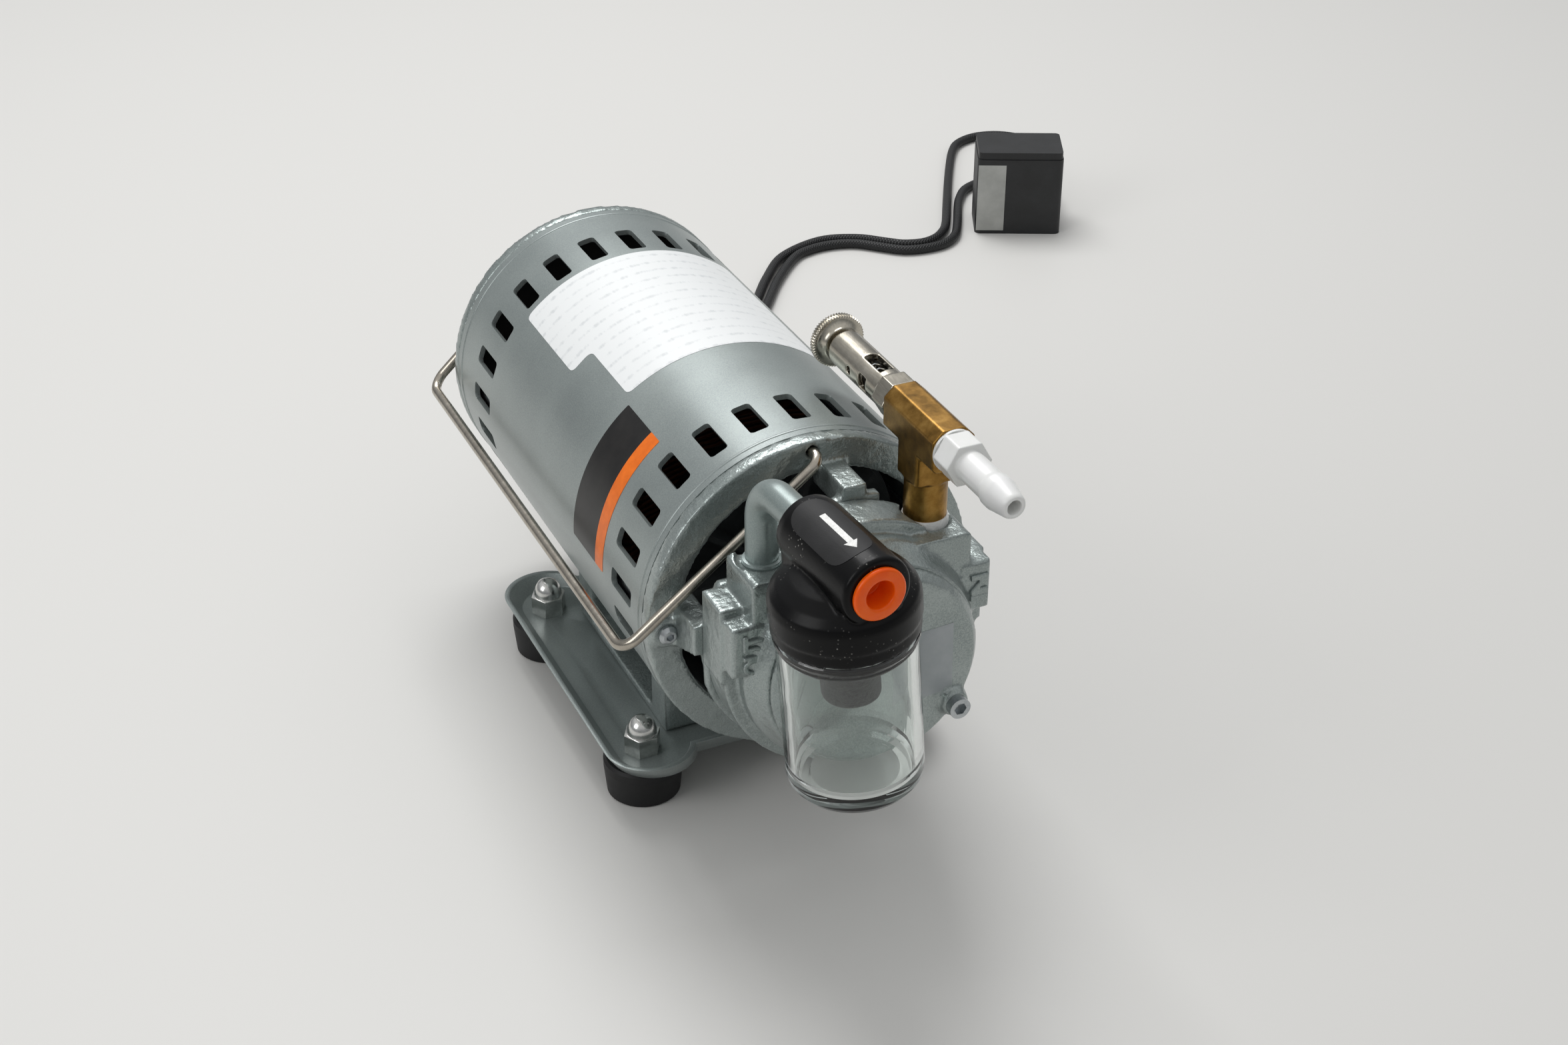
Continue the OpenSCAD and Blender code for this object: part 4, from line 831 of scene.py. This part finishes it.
# Carbon graphite wears to a dark, slightly shiny grey.
carbon = moulded_plastic("carbon_graphite", "#232425", "#343638", 0.34, 0.5, 0.02, Metallic=0.3)
finish_nodes(plated_steel, "plate_screws")
finish_nodes(cast_iron, "pump_rotor")
finish_nodes(carbon, "carbon_vanes")

# Exhaust filter
# A painted steel elbow leads into a black moulded cap, whose glass jar screws in
# under a rubber ring. A felt sleeve sits on a post inside, and an orange plug ends the
# cap's tube.
tube_h = 0.1567
filter_place = (
    Matrix.Translation((-port_x, port_y, tube_h))
    @ Matrix.Rotation(math.radians(3.8), 4, "Z")
    @ Matrix.Rotation(math.radians(-4.5), 4, "Y")
)
jar_axis = Vector((0, -0.0509, 0))


def turned(name, profile, place, sides=96, ripple=None):
    """A turned piece from (radius, height) points in mm round the Z axis of a place."""
    shape = bmesh.new()
    rings = []
    for r, h in profile:
        if r < 1e-6:
            rings.append([shape.verts.new(place @ Vector((0, 0, h / 1000.0)))])
            continue
        ring = []
        for k in range(sides):
            a = 2 * math.pi * k / sides
            far = (r + (ripple(r, h, k) if ripple else 0.0)) / 1000.0
            ring.append(shape.verts.new(
                place @ Vector((far * math.cos(a), far * math.sin(a), h / 1000.0))
            ))
        rings.append(ring)
    closed = profile[0][0] > 1e-6 and profile[-1][0] > 1e-6
    pairs = list(zip(rings, rings[1:])) + ([(rings[-1], rings[0])] if closed else [])
    for low, high in pairs:
        for k in range(sides):
            n = (k + 1) % sides
            corners = [
                low[k % len(low)], low[n % len(low)], high[n % len(high)], high[k % len(high)]
            ]
            corners = [v for i, v in enumerate(corners) if v not in corners[:i]]
            if len(corners) > 2:
                shape.faces.new(corners)
    bmesh.ops.recalc_face_normals(shape, faces=shape.faces)
    made = piece_from(shape, name)
    smooth_piece(made, 38)
    return made


elbow_lacquer = lacquer(
    "silver_grey_lacquer_on_tube", "#84908E", "#99A3A1", 0.5, 0.34, 1.2, 0.02, 9.0, 0.1
)
elbow = copy_of("exhaust_elbow", "painted_elbow")
smooth_piece(elbow, 50)
paint_piece(elbow, elbow_lacquer)

# Sealing tape shows as a thin white line where the elbow enters the cap.
ptfe = mottled(
    "white_ptfe_tape", (2.2, 4.0, 0.65), [(0.35, "#D6D7D5"), (0.65, "#F1F1EF")],
    (2.2, 4.0, 0.65, 0.3, 0.8), Roughness=0.45, IOR=1.38,
)
flow_line = filter_place @ Matrix.Rotation(math.radians(90), 4, "X")
seam = turned(
    "elbow_seam_tape", [(5.45, 26.6), (6.1, 26.8), (6.5, 27.6), (6.5, 28.8), (5.45, 28.8)],
    flow_line, 64,
)
paint_piece(seam, ptfe)
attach(seam, "pump")
foot_ring = turned(
    "elbow_foot_ring", [(5.45, 35.5), (6.5, 35.5), (6.7, 36.2), (6.4, 36.9), (5.45, 37.1)],
    Matrix.Translation((-port_x, port_y, axis_h / 1000)), 64,
)
paint_piece(foot_ring, elbow_lacquer)
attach(foot_ring, "pump")

# Black nylon, satin, with pale dust on it. The specks are drawn about twice their
# real size so that they show.
cap_nylon, tree, shader = new_material(
    "dusty_black_nylon", Roughness=0.36, Specular_IOR_Level=0.17
)
place = add_node(tree, "ShaderNodeTexCoord")
speck_pitch, patch_size, grain_size, grain_depth = 1.5, 11.0, 0.6, 0.02
specks = add_node(
    tree, "ShaderNodeTexVoronoi", {"Vector": (place, "Object"), "Scale": 1000 / speck_pitch},
    feature="F1", distance="EUCLIDEAN",
)
patches = noise(tree, (place, "Object"), patch_size, 3.0, 0.6)
grain = noise(tree, (place, "Object"), grain_size, 2.0, 0.6)
near = add_node(
    tree, "ShaderNodeMapRange",
    {"Value": (specks, "Distance"), "From Min": 0.0, "From Max": 0.22, "To Min": 1.0,
     "To Max": 0.0},
)
thick = add_node(
    tree, "ShaderNodeMapRange",
    {"Value": patches, "From Min": 0.52, "From Max": 0.66, "To Min": 0.0, "To Max": 0.6},
)
dust = combined(tree, (near, "Result"), (thick, "Result"))
colour_by(tree, shader, dust, [(0.0, "#070708"), (0.6, "#9A9994")])
dull_by(tree, shader, patches, 0.2, 0.42)
raise_by(tree, shader, grain, grain_depth, 0.6)
cap = copy_of("filter_cap", "moulded_cap")
cast_form(cap, 0.55, 5)
# The tube's socket starts 28 mm along it, so its end is drawn in to there.
cap_back, squeeze_from, socket_end, dome_top = -28.4, -30.0, -21.0, -16.0
to_cap = filter_place.inverted()
for v in cap.data.vertices:
    p = to_cap @ v.co * 1000
    if p.y > squeeze_from and p.z > dome_top:
        share = min(1.0, (p.z - dome_top) / 6)
        squeeze = (cap_back - squeeze_from) / (socket_end - squeeze_from)
        p.y += (squeeze_from + (p.y - squeeze_from) * squeeze - p.y) * share
        v.co = filter_place @ (p / 1000)
paint_piece(cap, cap_nylon)

# The cap's inner collar, whose thread carries the jar, shows through the glass.
collar = turned(
    "cap_inner_collar",
    [(15.8, -20.0), (18.7, -20.0), (18.7, -24.6), (18.9, -25.0), (18.9, -25.7), (18.5, -26.2),
     (18.5, -27.0), (18.9, -27.5), (18.9, -28.2), (18.5, -28.8), (18.5, -29.6), (18.9, -30.1),
     (18.9, -30.7), (18.2, -31.6), (16.2, -31.8)],
    filter_place @ Matrix.Translation(jar_axis),
)
paint_piece(collar, cap_nylon)
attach(collar, "pump")

# A matt grained panel on the cap's tube, with a plain white flow arrow on it.
matt_nylon = moulded_plastic(
    "matt_grained_nylon", "#1A1A1B", "#242425", 0.6, 0.5, 0.06, Specular_IOR_Level=0.35
)
tube_r, panel_lift = 11.5, 0.12


def tube_patch(name, outline, lift_mm, strips):
    """A thin sheet on the cap's tube, from an outline of (arc, distance) in mm."""
    shape = flat_sheet(outline, strips)
    for v in shape.verts:
        angle, far = v.co.x / tube_r, tube_r + lift_mm
        p = Vector((far * math.sin(angle), -v.co.y, far * math.cos(angle))) / 1000
        v.co = filter_place @ p
    return stuck_sheet(shape, name, Vector((0, 0, 1)), 0.00012)


panel_lean = math.radians(-14) * tube_r
panel = tube_patch(
    "cap_tube_panel",
    [(panel_lean + x, y)
     for x, y in rounded_outline([(-8, 33), (8, 33), (8, 66), (-8, 66)], 8.0, 8)],
    panel_lift, 18,
)
paint_piece(panel, matt_nylon)
arrow_ink = mottled(
    "white_printed_arrow", (1.5, 3.0, 0.6), [(0.3, "#CFCFCC"), (0.6, "#EDEDEA")], Roughness=0.5
)
arrow_x = panel_lean + 1.5
arrow = tube_patch(
    "flow_arrow",
    [(arrow_x - 1.0, 42.5), (arrow_x + 1.0, 42.5), (arrow_x + 1.0, 59.6), (arrow_x + 2.3, 59.3),
     (arrow_x, 63.2), (arrow_x - 2.3, 59.3), (arrow_x - 1.0, 59.6)],
    panel_lift + 0.09, 5,
)
paint_piece(arrow, arrow_ink)

# Clear soda-lime glass: a green tint shows only in its thick edges.
glass, tree, shader = new_material(
    "clear_soda_lime_glass", Roughness=0.015, IOR=1.52, Transmission_Weight=1.0
)
shader.inputs["Base Color"].default_value = hex_linear("#F3F8F6")
place = add_node(tree, "ShaderNodeTexCoord")
wave_size, wave_depth = 16.0, 0.25
waves = noise(tree, (place, "Object"), wave_size, 1.0, 0.4)
raise_by(tree, shader, waves, wave_depth, 0.5)
finish_nodes(glass, "glass_jar", degrees=40)

# Needled polyester felt: short fibres stand off it and blur its edge.
felt = mottled(
    "grey_needled_felt", (1.1, 6.0, 0.75), [(0.3, "#1A1A19"), (0.7, "#444240")],
    (1.1, 6.0, 0.75, 0.6, 1.0), twist=1.2, Roughness=0.95, Sheen_Weight=0.4,
)
sleeve_piece = copy_of("felt_element", "felt_sleeve")
felt_low, felt_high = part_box("felt_element")
felt_cut = 0.0045
for v in sleeve_piece.data.vertices:
    share = (felt_high[2] - v.co.z) / (felt_high[2] - felt_low[2])
    v.co.z += felt_cut * share
cast_form(sleeve_piece, 0.7, 9)
paint_piece(sleeve_piece, felt)

rubber = moulded_plastic(
    "black_rubber", "#121213", "#1C1C1D", 0.55, 0.8, 0.03, Specular_IOR_Level=0.35
)
turned_aluminium = plain_metal(
    "turned_aluminium", "#9FA3A5", "#B9BCBE", 0.3, 0.6, (1.0, 1.0, 4.0)
)
post = copy_of("filter_post", "element_post")
for v in post.data.vertices:
    v.co.z = max(v.co.z, felt_low[2] + felt_cut + 0.003)
smooth_piece(post)
paint_piece(post, turned_aluminium)
finish_nodes(rubber, "jar_gasket")

# Acetal in bright orange, satin with a soft sheen at its edge.
acetal = moulded_plastic(
    "orange_acetal", "#F05606", "#F86A10", 0.27, 0.9, 0.01, Specular_IOR_Level=0.3
)
plug = copy_of("outlet_plug", "orange_plug", "plug")
soften(plug, 0.35)
paint_piece(plug, acetal)

# Inlet tee and hose barb
# A machined brass tee stands on its nipple in white tape. A barb moulded in natural
# nylon screws into its front end.
brass, tree, shader = new_material("aged_brass", Metallic=1.0)
place = add_node(tree, "ShaderNodeTexCoord")
drawn = add_node(
    tree, "ShaderNodeMapping", {"Vector": (place, "Object"), "Scale": (1.0, 0.08, 1.0)}
)
tarnish_size, scratch_size, scratch_depth = 7.0, 0.5, 0.03
tarnish = noise(tree, (place, "Object"), tarnish_size, 5.0, 0.65)
scratches = noise(tree, (drawn, 0), scratch_size, 3.0, 0.6)
colour_by(tree, shader, tarnish, [(0.3, "#6C5024"), (0.5, "#926E36"), (0.7, "#AE894B")])
dull_by(tree, shader, tarnish, 0.24, 0.46)
raise_by(tree, shader, scratches, scratch_depth, 0.5)
cast_copy("brass_tee", "machined_tee", 0.42, 2, brass)
finish_nodes(ptfe, "seal_tape")
tape_ring = turned(
    "nipple_tape_ring",
    [(6.6, 127.6), (7.9, 127.6), (8.1, 128.6), (7.9, 130.4), (7.6, 131.2), (6.6, 131.2)],
    Matrix.Translation((port_x, port_y, 0)), 72,
)
paint_piece(tape_ring, ptfe)
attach(tape_ring, "pump")

# Natural nylon: milky, lets light through and has a waxy shine.
nylon = moulded_plastic(
    "natural_nylon", "#F2F3F0", "#FAFAF8", 0.28, 1.2, 0.01, IOR=1.53, Transmission_Weight=0.15,
    Subsurface_Weight=0.5,
)
nylon_shader = nylon.node_tree.nodes["Principled BSDF"]
nylon_shader.inputs["Subsurface Radius"].default_value = (0.004, 0.004, 0.004)
cast_copy("hose_barb", "moulded_barb", 0.38, 3, nylon)

# Regulating valve
# Nickel plated brass with air windows. A spring holds the poppet, and a knurled
# knob on a screw sets the spring.
nickel = plain_metal(
    "satin_nickel_plate", "#AFA99C", "#CBC5B8", 0.22, 0.8, (1.0, 0.2, 1.0), 0.008
)
cast_copy("valve_body", "nickel_valve_body", 0.34, 2, nickel)
finish_nodes(brass, "valve_poppet")
finish_nodes(ground_steel, "valve_spring", "spring_seat")

knob_low, knob_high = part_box("adjusting_knob")
knob_r, head_depth = 9.8, 4.1
valve_h = 0.1634
knob_place = (
    Matrix.Translation((port_x, 0, valve_h)) @ Matrix.Rotation(math.radians(-90), 4, "X")
)
knurl_teeth, knurl_deep = 58, 0.42


def knurl(r, h, k):
    """Cuts teeth into the knob's widest rings."""
    return -knurl_deep if r > knob_r - 0.45 and k % 4 in (0, 1) else 0.0


screw_from = 1000 * knob_low[1]
y = 1000 * knob_high[1] - head_depth
knurled_knob = turned(
    "knurled_knob",
    [(0, screw_from), (3.0, screw_from), (3.0, y - 1.8), (5.9, y - 1.8), (6.2, y - 1.6),
     (6.3, y - 1.1), (6.7, y - 0.4), (7.5, y + 0.3), (8.7, y + 0.8), (9.2, y + 0.8),
     (9.6, y + 1.0), (knob_r, y + 1.3), (knob_r, y + 3.3), (knob_r - 0.2, y + 3.6),
     (9.0, y + 4.0), (6.8, y + head_depth), (5.8, y + 3.5), (0, y + 3.4)],
    knob_place, 4 * knurl_teeth, knurl,
)
paint_piece(knurled_knob, nickel)
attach(knurled_knob, "knob")
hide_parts("adjusting_knob")

# Carry handle
# Stainless steel wire, bent to a wide bail whose hooked ends spring into the two
# end castings.
wire_steel = plain_metal(
    "drawn_stainless_wire", "#A19A8F", "#BDB6AA", 0.2, 2.5, depth_mm=0.002
)
wire_r = 1.93


def filleted(points, radii, steps=9):
    """A path with its corners rounded to the given radii."""
    points = [Vector(p) for p in points]
    line = [points[0]]
    for before, corner, after, r in zip(points, points[1:], points[2:], radii):
        back, on = (before - corner).normalized(), (after - corner).normalized()
        half = back.angle(on) / 2
        reach = r / math.tan(half)
        centre = corner + (back + on).normalized() * r / math.sin(half)
        a = (corner + back * reach - centre).normalized()
        b = (corner + on * reach - centre).normalized()
        line += [centre + r * a.slerp(b, k / steps) for k in range(steps + 1)]
    return line + [points[-1]]


hook_h, grip_out, bail_front, bail_rear = 148.0, 71.4, -91.95, 127.95
handle_line = filleted(
    metres([
        (0, -81, hook_h), (0, bail_front, hook_h), (-grip_out, bail_front, axis_h),
        (3 - grip_out, bail_rear, axis_h - 8), (0, bail_rear, hook_h), (0, 118, hook_h),
    ]),
    (0.004, 0.007, 0.007, 0.004),
)
bail = tube_along("wire_bail", handle_line, wire_r / 1000, 28)
paint_piece(bail, wire_steel)
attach(bail, "handle")
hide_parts("carry_handle")

# Tray and feet
# A pressed steel tray in the same lacquer, on four moulded rubber feet held by
# studs and bright domed nuts.
tray = copy_of("base_tray", "pressed_tray")
soften(tray, 0.6)
paint_piece(tray, shell_lacquer)
bright_nickel = plain_metal(
    "bright_nickel_plate", "#C4C4C1", "#DEDEDB", 0.2, 1.5, depth_mm=0.004
)
nuts = copy_of("acorn_nuts", "domed_nuts")
nut_place, nut_base, nut_taller, nut_wider = 0.05, 0.017, 1.38, 1.1
for v in nuts.data.vertices:
    axis_x, axis_y = math.copysign(nut_place, v.co.x), math.copysign(nut_place, v.co.y)
    v.co = Vector((
        axis_x + (v.co.x - axis_x) * nut_wider, axis_y + (v.co.y - axis_y) * nut_wider,
        nut_base + (v.co.z - nut_base) * nut_taller,
    ))
soften(nuts, 0.3)
paint_piece(nuts, bright_nickel)
finish_nodes(plated_steel, "foot_studs")
finish_nodes(
    rubber, "foot_front_left", "foot_front_right", "foot_rear_left", "foot_rear_right"
)

# Gland, capacitor box and plug
# The lead leaves through a moulded gland. The capacitor sits in a black ABS box with
# a lid, and the mains plug is moulded in PVC round brass blades.
gland_nylon = moulded_plastic("black_nylon_gland", "#171718", "#222224", 0.42, 0.6, 0.02)
box_abs = moulded_plastic("textured_black_abs", "#131415", "#1D1E20", 0.5, 0.7, 0.08)
plug_pvc = moulded_plastic("moulded_black_pvc", "#151516", "#202022", 0.48, 0.9, 0.03)
blade_brass = plain_metal("plated_brass_blades", "#A98E57", "#C9B27E", 0.25, 0.8)
finish_nodes(gland_nylon, "cord_gland")
finish_nodes(box_abs, "capacitor_box", "box_lid")
finish_nodes(plug_pvc, "mains_plug")
finish_nodes(blade_brass, "plug_pins", degrees=30)

# A plain pale grey patch, lighter than the box, covers the left part of the box's face.
pale_patch = moulded_plastic("pale_grey_patch", "#9C9D99", "#AEAFAB", 0.4, 0.9, 0.01)
patch_w, patch_h, patch_t, patch_x, patch_z = 15.0, 38.0, 0.1, -15.2, 21.0
bpy.ops.object.select_all(action="DESELECT")
bpy.ops.mesh.primitive_cube_add(size=1.0)
box_pale_patch = bpy.context.object
box_pale_patch.name = "box_pale_patch"
for v in box_pale_patch.data.vertices:
    x, z = patch_x + patch_w * v.co.x, patch_z + patch_h * v.co.z
    y = -0.02 - patch_t * (v.co.y + 0.5)
    v.co = Vector((
        box_at[0] + x * math.cos(box_turn) + y * box_back[0],
        box_at[1] + x * math.sin(box_turn) + y * box_back[1], z,
    )) / 1000.0
soften(box_pale_patch, 0.04)
paint_piece(box_pale_patch, pale_patch)
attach(box_pale_patch, "pump")

# Table and light
# A plain pale table top, lit by one large soft lamp above and behind the pump
# and by pale walls all round.
bpy.ops.object.select_all(action="DESELECT")
bpy.ops.mesh.primitive_plane_add(size=12.0, location=(0, 2.0, 0))
table = bpy.context.object
table.name = "table_top"
table_paint, tree, shader = new_material("table_laminate", Roughness=0.5)
shader.inputs["Base Color"].default_value = hex_linear("#D0CFCC")
paint_piece(table, table_paint)

world = bpy.data.worlds.new("pale_room")
scene.world = world
world.use_nodes = True
backdrop = world.node_tree.nodes["Background"]
toward = add_node(world.node_tree, "ShaderNodeTexCoord")
split = add_node(world.node_tree, "ShaderNodeSeparateXYZ", {0: (toward, "Generated")})
walls = add_node(
    world.node_tree, "ShaderNodeValToRGB", {"Fac": (split, "Z")},
    [(0.0, "#8F9193"), (0.25, "#A9ABAD"), (0.6, "#E2E3E4"), (1.0, "#F4F4F4")],
)
world.node_tree.links.new(walls.outputs["Color"], backdrop.inputs["Color"])
backdrop.inputs["Strength"].default_value = 0.78


def soft_lamp(name, place, aim, size, watts):
    """A square area lamp that points at a place."""
    lamp = bpy.data.lights.new(name, "AREA")
    lamp.size = size
    lamp.energy = watts
    made = bpy.data.objects.new(name, lamp)
    made.location = place
    made.rotation_euler = (Vector(aim) - Vector(place)).to_track_quat("-Z", "Y").to_euler()
    scene.collection.objects.link(made)
    return made


soft_lamp("ceiling_panel", (0.15, 0.85, 1.5), (0, -0.03, 0.08), 0.9, 17.0)
soft_lamp("side_window", (-1.3, -0.2, 0.9), (0, 0, 0.1), 0.8, 5.0)
